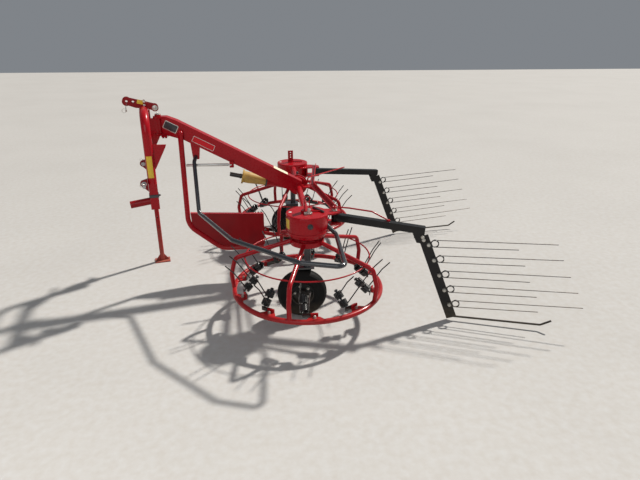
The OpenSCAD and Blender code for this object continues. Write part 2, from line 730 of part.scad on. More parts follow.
module wheel_rim(s) {
  hub_r = 30;
  color("dimgray") place() mirror([0, s > 0 ? 0 : 1, 0])
    translate([axle_x, rotor_y, axle_z]) rotate([-90, 0, 0]) rotate_extrude()
      polygon([[axle_d / 2 + pin_gap, -tyre_w / 2], [hub_r, -tyre_w / 2], [hub_r, -6], [rim_r - 14, -6],
        [rim_r - 6, -tyre_w / 2 + 6],
        [rim_r, -tyre_w / 2 + 6], [rim_r, tyre_w / 2 - 6], [rim_r - 6, tyre_w / 2 - 6], [rim_r - 14, 6],
          [hub_r, 6],
        [hub_r, tyre_w / 2], [axle_d / 2 + pin_gap, tyre_w / 2]]);
}

module tyre(s) {
  r = tyre_d / 2;
  h = tyre_w / 2;
  color("black") place() mirror([0, s > 0 ? 0 : 1, 0])
    translate([axle_x, rotor_y, axle_z]) rotate([-90, 0, 0]) rotate_extrude()
      polygon([[rim_r + seat, -h + 8], [rim_r + 12, -h + 4], [rim_r + 40, -h], [r - 34, -h + 1],
        [r - 14, -h + 10], [r - 4, -h + 22], [r, -8],
        [r, 8], [r - 4, h - 22], [r - 14, h - 10], [r - 34, h - 1], [rim_r + 40, h], [rim_r + 12, h - 4],
          [rim_r + seat, h - 8]]);
}

// Pieces of a gate, drawn with the hinge axis at the origin and the arm along +X
gate_z = (lower_plate_z + hinge_plate_t + upper_plate_z) / 2;
knuckle_h = upper_plate_z - lower_plate_z - hinge_plate_t - 2;
module at_gate(s, angle) {
  place() mirror([0, s > 0 ? 0 : 1, 0]) translate([hinge_x, hinge_y, 0]) rotate([0, 0, 180 - angle])
    mirror([0, 1, 0]) children();
}

module gate_arm(s, angle) {
  w = gate_arm_w;
  color([0.12, 0.12, 0.13]) at_gate(s, angle) difference() {
    union() {
      translate([0, 0, gate_z - knuckle_h / 2]) cylinder(d = 44, h = knuckle_h);
      translate([0, 0, gate_z]) rotate([0, gate_droop, 0]) {
        translate([10, -w / 2, -w / 2]) cube([gate_arm_len - 10, w, w]);
        // lug below the arm's end, which the curtain bar is bolted to
        translate([gate_arm_len - 62, -curtain_t / 2 - seat - 8, -w / 2 - 46]) cube([62, 8, 50]);
      }
    }
    translate([0, 0, gate_z - 200]) cylinder(d = hinge_pin_d + 2 * pin_gap, h = 400);
    translate([0, 0, gate_z + knuckle_h / 2]) cylinder(r = 80, h = 100);
    translate([0, 0, gate_z - knuckle_h / 2 - 100]) cylinder(r = 80, h = 100);
  }
}

// Curtain bar: leans to the rear below the arm's end
curtain_lean = 22;
curtain_t = 8;
foot_rod_d = 14;
foot_rod_reach = 512;
foot_rod_fall = 203;
foot_rod_bend = [curtain_w / 2 + foot_rod_reach, 0, -curtain_len - foot_rod_fall];
foot_rod_tip = foot_rod_bend + [75, 0, 12];
curtain_top_x = (gate_arm_len - 4) * cos(gate_droop);
module at_curtain(s, angle) {
  at_gate(s, angle)
    translate([curtain_top_x, 0, gate_z - (gate_arm_len - 4) * sin(gate_droop) - gate_arm_w / 2 - 3])
      rotate([0, -curtain_lean, 0]) children();
}

module gate_curtain(s, angle) {
  color([0.12, 0.12, 0.13]) at_curtain(s, angle) {
    translate([-curtain_w / 2 - 8, -curtain_t / 2, -curtain_len])
      cube([curtain_w, curtain_t, curtain_len - 12]);
    // foot rod, bent up at its end
    bent([[curtain_w / 2 - 34, 0, -curtain_len + 7], foot_rod_bend, foot_rod_tip], foot_rod_d, 30);
  }
}

// Spring units on the curtain bar: height of the upper wire, length of the upper wire, length of the lower
SPRING_ROWS = [[-61, 770, 535], [-179, 775, 545], [-297, 790, 545], [-415, 810, 560], [-533, 815, 540]];
wire_droop = -3;
wire_shift = 2.6;
spring_coil_r = 29;
spring_mean_r = spring_coil_r - spring_wire_d / 2 - 2;
spring_edge_x = curtain_w / 2 - 8;
spring_x = spring_edge_x + spring_coil_r - 4;
spring_turns = 3;
spring_coil_w = spring_turns * spring_wire_d;
spring_y = curtain_t / 2 + seat + spring_coil_w / 2;
wire_dir = [cos(curtain_lean + wire_droop), 0, -sin(curtain_lean + wire_droop)];
wire_up = [-wire_dir[2], 0, wire_dir[0]];
// Start of wire i on its ring: 0 the upper wire, 1 the lower one
function spring_foot(row, i) = [spring_x, spring_y + (2 * i - 1) * wire_shift, row[0] - spring_mean_r]
  + (1 - 2 * i) * spring_mean_r * wire_up;

// The machine's middle along X lies between the right lower link pin and the lowest long spring wire's tip
front_x = pivot_x + (lower_pin_x + lower_pin_d / 2) * cos(swing) + (lower_pin_y + pin_reach) * sin(swing);
last_row = SPRING_ROWS[len(SPRING_ROWS) - 1];
last_tip = spring_foot(last_row, 0) + wire_dir * last_row[1];
spring_reach = curtain_top_x + last_tip[0] * cos(curtain_lean) - last_tip[2] * sin(curtain_lean);
function tip_x(angle) = hinge_x - spring_reach * cos(angle) + last_tip[1] * sin(angle)
  - spring_wire_d / 2 * sqrt(1 - pow(cos(wire_droop) * cos(angle), 2));
rear_x = min(tip_x(gate_angle_left), tip_x(gate_angle_right));
frame_mid_x = (front_x + rear_x) / 2;
// The machine's middle along Y lies between the guard rail's outer bend and the right rotor's tine tips
left_y = elbow_hub(rail_pts[4], rail_pts[5], rail_pts[6],
  rail_bend_r)[1] + rail_bend_r + (rail_d - elbow_step) / 2;
function tip_y(a) = rotor_y + tine_tip_r * sin(a) + (coil_shift - (coil_d - tine_d) / 2) * cos(a)
  + tine_d / 2 * sqrt(1 - pow(cos(tine_rise_high) * sin(a), 2));
right_y = max([for (a = TINE_ANGLES) tip_y(a)]);
frame_mid_y = (left_y - right_y) / 2;

// Section of a wound ring: grooves between the turns on its outer side
spring_hole_r = spring_mean_r - spring_wire_d / 2 - 1;
spring_groove = 1.6;
ring_profile = [for (i = [0 : 2 * spring_turns])
  [spring_coil_r - (i % 2 == 0 ? spring_groove : 0), i * spring_wire_d / 2]];

module gate_springs(s, angle) {
  color([0.25, 0.2, 0.16]) at_curtain(s, angle) for (row = SPRING_ROWS) {
    coil_z = row[0] - spring_mean_r;
    // clamp tongue that holds the ring on the bar
    translate([spring_edge_x - 30, curtain_t / 2 + seat, coil_z - 20]) cube([36, 6, 40]);
    translate([spring_x, spring_y - spring_coil_w / 2, coil_z]) rotate([-90, 0, 0]) rotate_extrude()
      polygon(concat([[spring_hole_r, 0]], ring_profile, [[spring_hole_r, spring_coil_w]]));
    for (i = [0, 1])
      rod(spring_foot(row, i), spring_foot(row, i) + wire_dir * row[1 + i], spring_wire_d);
  }
}

boom();
pivot_lugs();
cross_tube();
centre_gearbox();
pto_shaft();
pto_guard();
guard_tube();
guard_sheet();
guard_brace();
rail_bracket();
headstock_hoop();
headstock_mast();
top_link_plates();
lower_link_lugs();
lower_link_pins();
hitch_stub();
stand_sleeve();
parking_stand();
drum(1);  // drum_left
drum(-1);  // drum_right
drum_bar(1, SIDES[0][2]);  // drum_bar_left
drum_bar(-1, SIDES[1][2]);  // drum_bar_right
gate_bracket(1);  // gate_bracket_left
gate_bracket(-1);  // gate_bracket_right
guard_rail();
rotor_frame(1);  // rotor_frame_left
rotor_frame(-1);  // rotor_frame_right
tines(1);  // tines_left
tines(-1);  // tines_right
wheel_leg(1);  // wheel_leg_left
wheel_leg(-1);  // wheel_leg_right
wheel_rim(1);  // wheel_rim_left
wheel_rim(-1);  // wheel_rim_right
tyre(1);  // tyre_left
tyre(-1);  // tyre_right
gate_arm(1, SIDES[0][1]);  // gate_arm_left
gate_arm(-1, SIDES[1][1]);  // gate_arm_right
gate_curtain(1, SIDES[0][1]);  // gate_curtain_left
gate_curtain(-1, SIDES[1][1]);  // gate_curtain_right
gate_springs(1, SIDES[0][1]);  // gate_springs_left
gate_springs(-1, SIDES[1][1]);  // gate_springs_right
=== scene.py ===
"""Looks of the parked twin rotor hay rake: finishes, small pieces, camera and light round the CAD frame.

Lengths are in metres. Places are given in the machine's own frame: x forward from the rotor axes,
y to the machine's left from its middle plane, z up from the ground.
"""
from math import acos, cos, pi, radians, sin, sqrt, tan

import bmesh
import bpy
from mathutils import Matrix, Vector


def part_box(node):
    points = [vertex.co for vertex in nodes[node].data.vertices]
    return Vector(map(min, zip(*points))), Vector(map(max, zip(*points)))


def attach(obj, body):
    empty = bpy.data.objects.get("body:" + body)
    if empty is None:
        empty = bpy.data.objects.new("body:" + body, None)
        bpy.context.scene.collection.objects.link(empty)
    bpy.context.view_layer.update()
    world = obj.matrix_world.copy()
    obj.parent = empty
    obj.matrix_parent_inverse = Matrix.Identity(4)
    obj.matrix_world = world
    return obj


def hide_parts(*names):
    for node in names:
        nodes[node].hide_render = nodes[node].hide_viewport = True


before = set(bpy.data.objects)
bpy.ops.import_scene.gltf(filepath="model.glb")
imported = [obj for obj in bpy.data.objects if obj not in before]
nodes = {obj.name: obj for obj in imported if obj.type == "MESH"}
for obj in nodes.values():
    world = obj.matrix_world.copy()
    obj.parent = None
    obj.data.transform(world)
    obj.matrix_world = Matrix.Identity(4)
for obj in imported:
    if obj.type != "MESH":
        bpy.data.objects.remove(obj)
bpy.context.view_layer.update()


def middle(node):
    """Middle of a CAD node's box at rest."""
    low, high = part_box(node)
    return (Vector(low) + Vector(high)) / 2


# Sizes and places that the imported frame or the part's source gives

DRUM_LEFT, DRUM_RIGHT = middle("drum_left"), middle("drum_right")
ORIGIN = Vector(((DRUM_LEFT.x + DRUM_RIGHT.x) / 2, (DRUM_LEFT.y + DRUM_RIGHT.y) / 2, 0))
ROTOR_Y = (DRUM_LEFT.y - DRUM_RIGHT.y) / 2
DRUM_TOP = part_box("drum_left")[1][2]
PIVOT_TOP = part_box("pivot_lugs")[1][2]
DRUM_WALL_R = 0.142
SEAT_GAP = 0.0003

BOOM_RISE = radians(28)
BOOM_AXIS_Z = 0.752
BOOM_HALF_W = 0.040
BOOM_HALF_H = 0.054
GUARD_TUBE_R = 0.020

SWING = radians(12)
PIVOT_X = 1.045
HOOP_X = 0.095
HALF_SPAN = 0.320
LEG_R = 0.031
HOOP_BOLT_Z = 1.150
BRIDGE_FACE_X = HOOP_X + 0.0045
TOP_PLATE_FACE = 0.0365

SHAFT_RISE = radians(13)
SHAFT_Y = -0.092
SHAFT_AXIS_Z = 0.719
GEARBOX_Z = 0.739

GATES = {"left": (1, radians(20)), "right": (-1, radians(7))}
HINGE = Vector((-0.200, 0.660, 0))
GATE_Z = 0.710
ARM_LEN = 0.625
ARM_W = 0.048
ARM_DROOP = radians(4.5)
CURTAIN_LEAN = radians(22)
CURTAIN_W, CURTAIN_T = 0.070, 0.008

AXLE_X, AXLE_Z = 0.040, 0.1765
SIDES = {"left": 1, "right": -1}


# Shader groups: patches, dust and grain

def group(name, inputs, outputs):
    """Empty node group with the named sockets; returns the tree, its input node and its output node."""
    tree = bpy.data.node_groups.new(name, "ShaderNodeTree")
    for label, kind, value in inputs:
        socket = tree.interface.new_socket(name=label, in_out="INPUT", socket_type=kind)
        if value is not None:
            socket.default_value = value
    for label, kind in outputs:
        tree.interface.new_socket(name=label, in_out="OUTPUT", socket_type=kind)
    return tree, tree.nodes.new("NodeGroupInput"), tree.nodes.new("NodeGroupOutput")


def patches_group():
    """Soft mask of patches: noise in object space, sharpened between Low and High."""
    inputs = [("Vector", "NodeSocketVector", None), ("Scale", "NodeSocketFloat", 4.0),
              ("Low", "NodeSocketFloat", 0.45), ("High", "NodeSocketFloat", 0.7)]
    tree, start, end = group("Patches", inputs, [("Mask", "NodeSocketFloat")])
    noise = tree.nodes.new("ShaderNodeTexNoise")
    noise.inputs["Detail"].default_value = 6.0
    noise.inputs["Roughness"].default_value = 0.62
    ramp = tree.nodes.new("ShaderNodeMapRange")
    link = tree.links.new
    link(start.outputs["Vector"], noise.inputs["Vector"])
    link(start.outputs["Scale"], noise.inputs["Scale"])
    link(noise.outputs["Fac"], ramp.inputs["Value"])
    link(start.outputs["Low"], ramp.inputs["From Min"])
    link(start.outputs["High"], ramp.inputs["From Max"])
    link(ramp.outputs["Result"], end.inputs["Mask"])
    return tree


def dust_group():
    """Mask of dust: more on faces that look up and near the ground, broken up by noise."""
    inputs = [("Vector", "NodeSocketVector", None), ("Height", "NodeSocketFloat", 0.5),
              ("Upward", "NodeSocketFloat", 0.35)]
    tree, start, end = group("Dust", inputs, [("Mask", "NodeSocketFloat")])
    add = tree.nodes.new
    place = add("ShaderNodeSeparateXYZ")
    normal = add("ShaderNodeSeparateXYZ")
    geometry = add("ShaderNodeNewGeometry")
    low = add("ShaderNodeMapRange")
    low.inputs["From Min"].default_value = 0.0
    low.inputs["To Min"].default_value = 0.42
    low.inputs["To Max"].default_value = 0.0
    up = add("ShaderNodeMapRange")
    up.inputs["From Min"].default_value = 0.4
    up.inputs["From Max"].default_value = 1.0
    lift = add("ShaderNodeMath")
    lift.operation = "MULTIPLY"
    total = add("ShaderNodeMath")
    total.operation = "ADD"
    broken = add("ShaderNodeMath")
    broken.operation = "MULTIPLY"
    broken.use_clamp = True
    noise = add("ShaderNodeTexNoise")
    noise.inputs["Scale"].default_value = 22.0
    noise.inputs["Detail"].default_value = 8.0
    link = tree.links.new
    link(start.outputs["Vector"], place.inputs[0])
    link(place.outputs["Z"], low.inputs["Value"])
    link(start.outputs["Height"], low.inputs["From Max"])
    link(geometry.outputs["Normal"], normal.inputs[0])
    link(normal.outputs["Z"], up.inputs["Value"])
    link(up.outputs["Result"], lift.inputs[0])
    link(start.outputs["Upward"], lift.inputs[1])
    link(lift.outputs[0], total.inputs[0])
    link(low.outputs["Result"], total.inputs[1])
    link(start.outputs["Vector"], noise.inputs["Vector"])
    link(total.outputs[0], broken.inputs[0])
    link(noise.outputs["Fac"], broken.inputs[1])
    link(broken.outputs[0], end.inputs["Mask"])
    return tree


def grain_group():
    """Fine unevenness of a surface as a normal, with a value that varies the roughness."""
    inputs = [("Vector", "NodeSocketVector", None), ("Scale", "NodeSocketFloat", 60.0),
              ("Depth", "NodeSocketFloat", 0.1)]
    outputs = [("Normal", "NodeSocketVector"), ("Value", "NodeSocketFloat")]
    tree, start, end = group("Grain", inputs, outputs)
    noise = tree.nodes.new("ShaderNodeTexNoise")
    noise.inputs["Detail"].default_value = 4.0
    bump = tree.nodes.new("ShaderNodeBump")
    bump.inputs["Distance"].default_value = 0.004
    link = tree.links.new
    link(start.outputs["Vector"], noise.inputs["Vector"])
    link(start.outputs["Scale"], noise.inputs["Scale"])
    link(noise.outputs["Fac"], bump.inputs["Height"])
    link(start.outputs["Depth"], bump.inputs["Strength"])
    link(bump.outputs["Normal"], end.inputs["Normal"])
    link(noise.outputs["Fac"], end.inputs["Value"])
    return tree


# Finishes

PATCHES, DUST, GRAIN = patches_group(), dust_group(), grain_group()
DUST_COLOR = (0.30, 0.23, 0.15, 1)
STEEL_CHIP = (0.07, 0.05, 0.045)
RUBBED_CHIP = (0.16, 0.13, 0.11)
COAT_ROUGHNESS = 0.12
CHIP_EDGE = 0.03


def finish(name, base, second, rough, metallic=0.0, coat=0.0, specular=0.5, patch=(5.0, 0.5, 0.75),
           grain=(70.0, 0.08), dust=(0.45, 0.2), chips=None):
    """Principled material: a base colour with patches of a second one, paint chips, dust and fine grain.

    patch is the patches' scale and the two noise values between which they fade in, grain its scale and
    depth, dust its height over the ground and its share on upward faces, chips their colour, scale and
    threshold.
    """
    material = bpy.data.materials.new(name)
    material.use_nodes = True
    tree = material.node_tree
    tree.nodes.clear()
    link = tree.links.new
    out = tree.nodes.new("ShaderNodeOutputMaterial")
    shader = tree.nodes.new("ShaderNodeBsdfPrincipled")
    coords = tree.nodes.new("ShaderNodeTexCoord")
    shader.inputs["Metallic"].default_value = metallic
    shader.inputs["Specular IOR Level"].default_value = specular
    shader.inputs["Coat Weight"].default_value = coat
    shader.inputs["Coat Roughness"].default_value = COAT_ROUGHNESS
    link(shader.outputs[0], out.inputs["Surface"])

    def use(group_tree, **values):
        node = tree.nodes.new("ShaderNodeGroup")
        node.node_tree = group_tree
        link(coords.outputs["Object"], node.inputs["Vector"])
        for key, value in values.items():
            node.inputs[key].default_value = value
        return node

    def blend(mask, first, other):
        mix = tree.nodes.new("ShaderNodeMix")
        mix.data_type = "RGBA"
        link(mask, mix.inputs["Factor"])
        for socket, value in ((mix.inputs[6], first), (mix.inputs[7], other)):
            if isinstance(value, tuple):
                socket.default_value = value
            else:
                link(value, socket)
        return mix.outputs[2]

    patchy = use(PATCHES, Scale=patch[0], Low=patch[1], High=patch[2])
    color = blend(patchy.outputs["Mask"], (*base, 1), (*second, 1))
    if chips:
        spots = use(PATCHES, Scale=chips[1], Low=chips[2], High=chips[2] + CHIP_EDGE)
        color = blend(spots.outputs["Mask"], color, (*chips[0], 1))
    dusty = use(DUST, Height=dust[0], Upward=dust[1])
    color = blend(dusty.outputs["Mask"], color, DUST_COLOR)
    link(color, shader.inputs["Base Color"])
    grained = use(GRAIN, Scale=grain[0], Depth=grain[1])
    link(grained.outputs["Normal"], shader.inputs["Normal"])
    spread = tree.nodes.new("ShaderNodeMapRange")
    spread.inputs["To Min"].default_value = max(0.05, rough - 0.1)
    spread.inputs["To Max"].default_value = min(1.0, rough + 0.16)
    link(grained.outputs["Value"], spread.inputs["Value"])
    link(spread.outputs["Result"], shader.inputs["Roughness"])
    return material


RED = finish("red gloss paint", (0.37, 0.0012, 0.008), (0.30, 0.0012, 0.006), 0.26, coat=0.14, specular=0.2,
             patch=(3.0, 0.40, 0.85), dust=(0.35, 0.03), chips=(STEEL_CHIP, 30.0, 0.80))
ROTOR_RED = finish("worn red paint", (0.34, 0.0012, 0.007), (0.24, 0.0015, 0.005), 0.30, coat=0.14,
                   specular=0.22, patch=(7.0, 0.42, 0.85), dust=(0.30, 0.03), chips=(STEEL_CHIP, 36.0, 0.76))
# Painted shade: the red paint made darker for the guard sheet, the link plates and lugs, the hitch stub and
# the stand sleeve, which stand in shade.
SHADED_RED = finish("red paint darkened as painted shade", (0.25, 0.0012, 0.005), (0.17, 0.0015, 0.005), 0.30, coat=0.10,
                  specular=0.2, dust=(0.3, 0.03), chips=(STEEL_CHIP, 34.0, 0.78))
STAND_RED = finish("rubbed red paint", (0.33, 0.004, 0.008), (0.20, 0.035, 0.022), 0.42, specular=0.3,
                   patch=(16.0, 0.5, 0.72), chips=(RUBBED_CHIP, 30.0, 0.70))
BLACK = finish("black paint", (0.005, 0.005, 0.006), (0.012, 0.011, 0.010), 0.30, coat=0.22, specular=0.2,
               patch=(9.0, 0.5, 0.8), dust=(0.15, 0.01))
GREY = finish("dark grey paint", (0.020, 0.023, 0.029), (0.035, 0.034, 0.034), 0.20, coat=0.45,
              patch=(8.0, 0.5, 0.85), dust=(0.3, 0.02))
RIM = finish("rim black", (0.012, 0.012, 0.013), (0.03, 0.025, 0.022), 0.42, specular=0.25,
             patch=(14.0, 0.45, 0.7), dust=(0.2, 0.04))
STEEL = finish("bare steel", (0.42, 0.42, 0.43), (0.28, 0.22, 0.18), 0.30, metallic=0.9,
               patch=(18.0, 0.55, 0.8), dust=(0.3, 0.1))
ZINC = finish("zinc bolts", (0.55, 0.54, 0.50), (0.40, 0.36, 0.28), 0.33, metallic=0.8,
              patch=(30.0, 0.5, 0.8), dust=(0.3, 0.1))
SHAFT = finish("oiled shaft", (0.05, 0.05, 0.05), (0.12, 0.10, 0.08), 0.28, metallic=0.7,
               patch=(20.0, 0.5, 0.75))
TINE = finish("black spring steel", (0.008, 0.008, 0.009), (0.03, 0.024, 0.02), 0.28, coat=0.5,
              specular=0.35, patch=(25.0, 0.55, 0.8), dust=(0.3, 0.06))
WIRE = finish("rusty wire", (0.16, 0.155, 0.15), (0.13, 0.09, 0.065), 0.42, metallic=0.5,
              patch=(22.0, 0.45, 0.75), grain=(180.0, 0.3), dust=(0.4, 0.1))
YELLOW = finish("yellowed plastic", (0.50, 0.32, 0.07), (0.30, 0.19, 0.06), 0.46,
                patch=(12.0, 0.45, 0.75), dust=(0.3, 0.4))
RUBBER = finish("tyre rubber", (0.005, 0.005, 0.005), (0.012, 0.011, 0.010), 0.62, specular=0.18,
                patch=(10.0, 0.45, 0.8), grain=(160.0, 0.35), dust=(0.12, 0.05))
BRACE = finish("pale zinc rod", (0.66, 0.65, 0.62), (0.50, 0.48, 0.42), 0.34, metallic=0.7,
               patch=(20.0, 0.5, 0.8), dust=(0.2, 0.02))
CREAM = finish("cream label", (0.80, 0.72, 0.52), (0.66, 0.56, 0.38), 0.4,
               patch=(24.0, 0.5, 0.8), dust=(0.2, 0.02))
LABEL_YELLOW = finish("yellow label", (0.70, 0.46, 0.03), (0.55, 0.36, 0.05), 0.4,
                      patch=(20.0, 0.5, 0.8), dust=(0.2, 0.05))
LABEL_WHITE = finish("white label", (0.72, 0.70, 0.66), (0.50, 0.46, 0.40), 0.4,
                     patch=(24.0, 0.5, 0.8), dust=(0.2, 0.05))
LABEL_DARK = finish("dark plate", (0.03, 0.03, 0.034), (0.06, 0.06, 0.06), 0.3,
                    patch=(24.0, 0.5, 0.8), dust=(0.2, 0.05))
LABEL_RED = finish("red label", (0.60, 0.004, 0.012), (0.45, 0.004, 0.010), 0.35, specular=0.3,
                   patch=(24.0, 0.5, 0.8), dust=(0.2, 0.02))
# Painted highlight: a lighter, glossier copy of the red paint for the guard sheet's top rim, where light
# catches the edge.
HIGHLIGHT_RED = finish("red paint lightened as painted highlight", (0.80, 0.05, 0.07), (0.60, 0.03, 0.05), 0.25, coat=0.4,
                    patch=(9.0, 0.5, 0.8))
FLOOR = finish("studio floor", (0.52, 0.52, 0.515), (0.49, 0.49, 0.485), 0.9,
               patch=(0.6, 0.4, 0.7), grain=(8.0, 0.0), dust=(-1.0, 0.0))

NODE_FINISH = {
    RED: ["boom", "pivot_lugs", "cross_tube", "centre_gearbox", "guard_tube", "rail_bracket",
          "headstock_hoop", "headstock_mast", "drum_left", "drum_right", "drum_bar_left", "drum_bar_right",
          "gate_bracket_left", "gate_bracket_right"],
    ROTOR_RED: ["rotor_frame_left", "rotor_frame_right"],
    # Painted shade: these parts get the darkened red paint in place of the shade they stand in.
    SHADED_RED: ["guard_sheet", "top_link_plates", "lower_link_lugs", "hitch_stub", "stand_sleeve"],
    STAND_RED: ["parking_stand"],
    BLACK: ["gate_arm_left", "gate_arm_right", "gate_curtain_left", "gate_curtain_right"],
    GREY: ["guard_rail", "wheel_leg_left", "wheel_leg_right"],
    RIM: ["wheel_rim_left", "wheel_rim_right"],
    BRACE: ["guard_brace"],
    STEEL: ["lower_link_pins"],
    SHAFT: ["pto_shaft"],
    YELLOW: ["pto_guard"],
    TINE: ["tines_left", "tines_right"],
    WIRE: ["gate_springs_left", "gate_springs_right"],
    RUBBER: ["tyre_left", "tyre_right"],
}
for material, names in NODE_FINISH.items():
    for name in names:
        nodes[name].data.materials.clear()
        nodes[name].data.materials.append(material)


# Places

MACHINE = Matrix.Translation(ORIGIN)
HEADSTOCK = MACHINE @ Matrix.Translation((PIVOT_X, 0, 0)) @ Matrix.Rotation(SWING, 4, "Z")
UNMOVED = Matrix()


def at(x, y, z):
    return Matrix.Translation((x, y, z))


def along(origin, direction, roll=None):
    """Matrix that puts local z along direction at origin; roll names a direction that local x leans to."""
    z = Vector(direction).normalized()
    if roll is None:
        roll = (0, 0, 1) if abs(z.z) < 0.9 else (1, 0, 0)
    side = Vector(roll)
    x = (side - z * side.dot(z)).normalized()
    return Matrix.Translation(Vector(origin)) @ Matrix((x, z.cross(x), z)).transposed().to_4x4()


def flip_y(side):
    return Matrix.Diagonal((1, side, 1, 1))


def rotor_place(side, angle):
    """A unit's place on a rotor: 0 degrees points to the rear, 90 to the machine's side."""
    return MACHINE @ flip_y(side) @ at(0, ROTOR_Y, 0) @ Matrix.Rotation(radians(180 - angle), 4, "Z")


def gate_place(side, angle):
    """A gate's hinge at ground height, with x along its arm."""
    hinge = MACHINE @ flip_y(side) @ Matrix.Translation(HINGE)
    return hinge @ Matrix.Rotation(pi - angle, 4, "Z") @ flip_y(-1)


def arm_place(side, angle):
    """Along the middle of a gate's drooping arm."""
    return gate_place(side, angle) @ at(0, 0, GATE_Z) @ Matrix.Rotation(ARM_DROOP, 4, "Y")


def curtain_place(side, angle):
    """Top of a gate's curtain bar, below the end of its arm, with z along the leaning bar."""
    reach = ARM_LEN - 0.004
    top = at(reach * cos(ARM_DROOP), 0, GATE_Z - reach * sin(ARM_DROOP) - ARM_W / 2 - 0.003)
    return gate_place(side, angle) @ top @ Matrix.Rotation(-CURTAIN_LEAN, 4, "Y")


# Modelling helpers

MERGE = 1e-6
LABEL_T = 0.0006
WASHER_T = 0.0018


def edit_mode(select_by):
    """Enters edit mode on the active object, picking by VERT or EDGE."""
    bpy.ops.object.mode_set(mode="EDIT")
    bpy.ops.mesh.select_mode(type=select_by)


def object_at(place):
    """Merges doubles, leaves edit mode and moves the active object's mesh to its place."""
    bpy.ops.mesh.select_all(action="SELECT")
    bpy.ops.mesh.remove_doubles(threshold=MERGE)
    bpy.ops.object.mode_set(mode="OBJECT")
    made = bpy.context.object
    made.data.transform(place)
    return made


def draw_line(points):
    """Starts an object with a chain of edges: one vertex is extruded from point to point."""
    points = [Vector(point) for point in points]
    bpy.ops.object.select_all(action="DESELECT")
    bpy.ops.mesh.primitive_plane_add(size=0.01, location=(0, 0, 0), calc_uvs=False)
    edit_mode("VERT")
    bpy.ops.mesh.merge(type="CENTER")
    bpy.ops.transform.translate(value=points[0])
    for before, after in zip(points, points[1:]):
        bpy.ops.mesh.extrude_region_move(TRANSFORM_OT_translate={"value": after - before})
    bpy.ops.mesh.select_all(action="SELECT")


def turned(profile, place=UNMOVED, steps=32, start=0.0, sweep=2 * pi):
    """Part spun round local z from (radius, height) points; one that starts off the axis is a ring."""
    draw_line([(radius, 0, height) for radius, height in profile])
    if profile[0][0] > 0:
        bpy.ops.mesh.edge_face_add()
        bpy.ops.mesh.delete(type="ONLY_FACE")
        bpy.ops.mesh.select_all(action="SELECT")
    bpy.ops.mesh.spin(steps=steps, angle=-sweep, center=(0, 0, 0), axis=(0, 0, 1))
    if sweep < 2 * pi:
        bpy.ops.mesh.select_all(action="SELECT")
        bpy.ops.mesh.fill_holes(sides=0)
    return object_at(place @ Matrix.Rotation(start, 4, "Z"))


def wrapped_label(radius, low, high, start, sweep, steps, place=UNMOVED):
    """Thin label on a round wall, between two heights."""
    section = [(radius, low), (radius + LABEL_T, low), (radius + LABEL_T, high), (radius, high)]
    return turned(section, place, steps, start, sweep)


def select_edges(test):
    """Selects the edges whose direction passes the test, in the object in edit mode."""
    mesh = bpy.context.object.data
    shape = bmesh.from_edit_mesh(mesh)
    for edge in shape.edges:
        edge.select_set(test(edge.verts[1].co - edge.verts[0].co))
    bmesh.update_edit_mesh(mesh)


def plate(width, height, corner, low, high, place=UNMOVED, bevel=0.0002):
    """Plate with round corners between two heights along local z: a cube with bevelled edges."""
    bpy.ops.object.select_all(action="DESELECT")
    bpy.ops.mesh.primitive_cube_add(size=1, location=(0, 0, (low + high) / 2),
                                    scale=(width, height, high - low), calc_uvs=False)
    bpy.ops.object.transform_apply()
    edit_mode("EDGE")
    select_edges(lambda run: run.to_2d().length < MERGE)
    bpy.ops.mesh.bevel(offset=corner, segments=4, affect="EDGES")
    select_edges(lambda run: abs(run.z) < MERGE)
    bpy.ops.mesh.bevel(offset=bevel, segments=2, profile=0.6, affect="EDGES")
    return object_at(place)


def cut_plate(outline, low, high, place=UNMOVED, bevel=0.001):
    """Plate with the outline (x, y) between two heights along local z, all its edges bevelled."""
    draw_line([(x, y, low) for x, y in outline])
    bpy.ops.mesh.edge_face_add()
    bpy.ops.mesh.extrude_region_move(TRANSFORM_OT_translate={"value": (0, 0, high - low)})
    bpy.ops.mesh.select_all(action="SELECT")
    bpy.ops.mesh.bevel(offset=bevel, segments=2, profile=0.6, affect="EDGES")
    return object_at(place)


def hexagon(across, low, high, place=UNMOVED, bevel=0.001):
    """Hexagon between two heights along local z, across its flats, all its edges bevelled."""
    bpy.ops.object.select_all(action="DESELECT")
    bpy.ops.mesh.primitive_cylinder_add(vertices=6, radius=across / sqrt(3), depth=high - low,
                                        location=(0, 0, (low + high) / 2), rotation=(0, 0, pi / 2),
                                        calc_uvs=False)
    bpy.ops.object.transform_apply()
    edit_mode("EDGE")
    bpy.ops.mesh.select_all(action="SELECT")
    bpy.ops.mesh.bevel(offset=bevel, segments=2, profile=0.6, affect="EDGES")
    return object_at(place)


def rounded_path(points, radius, steps=5):
    """Polyline with its inner corners replaced by arcs."""
    points = [Vector(point) for point in points]
    path = [points[0]]
    for before, corner, after in zip(points, points[1:], points[2:]):
        u, v = (corner - before).normalized(), (after - corner).normalized()
        turn = acos(max(-1.0, min(1.0, u.dot(v))))
        if turn < 1e-3:
            path.append(corner)
            continue
        start = corner - u * radius * tan(turn / 2)
        inward = (v - u * u.dot(v)).normalized()
        for i in range(steps + 1):
            angle = turn * i / steps
            path.append(start + u * radius * sin(angle) + inward * radius * (1 - cos(angle)))
    return path + [points[-1]]


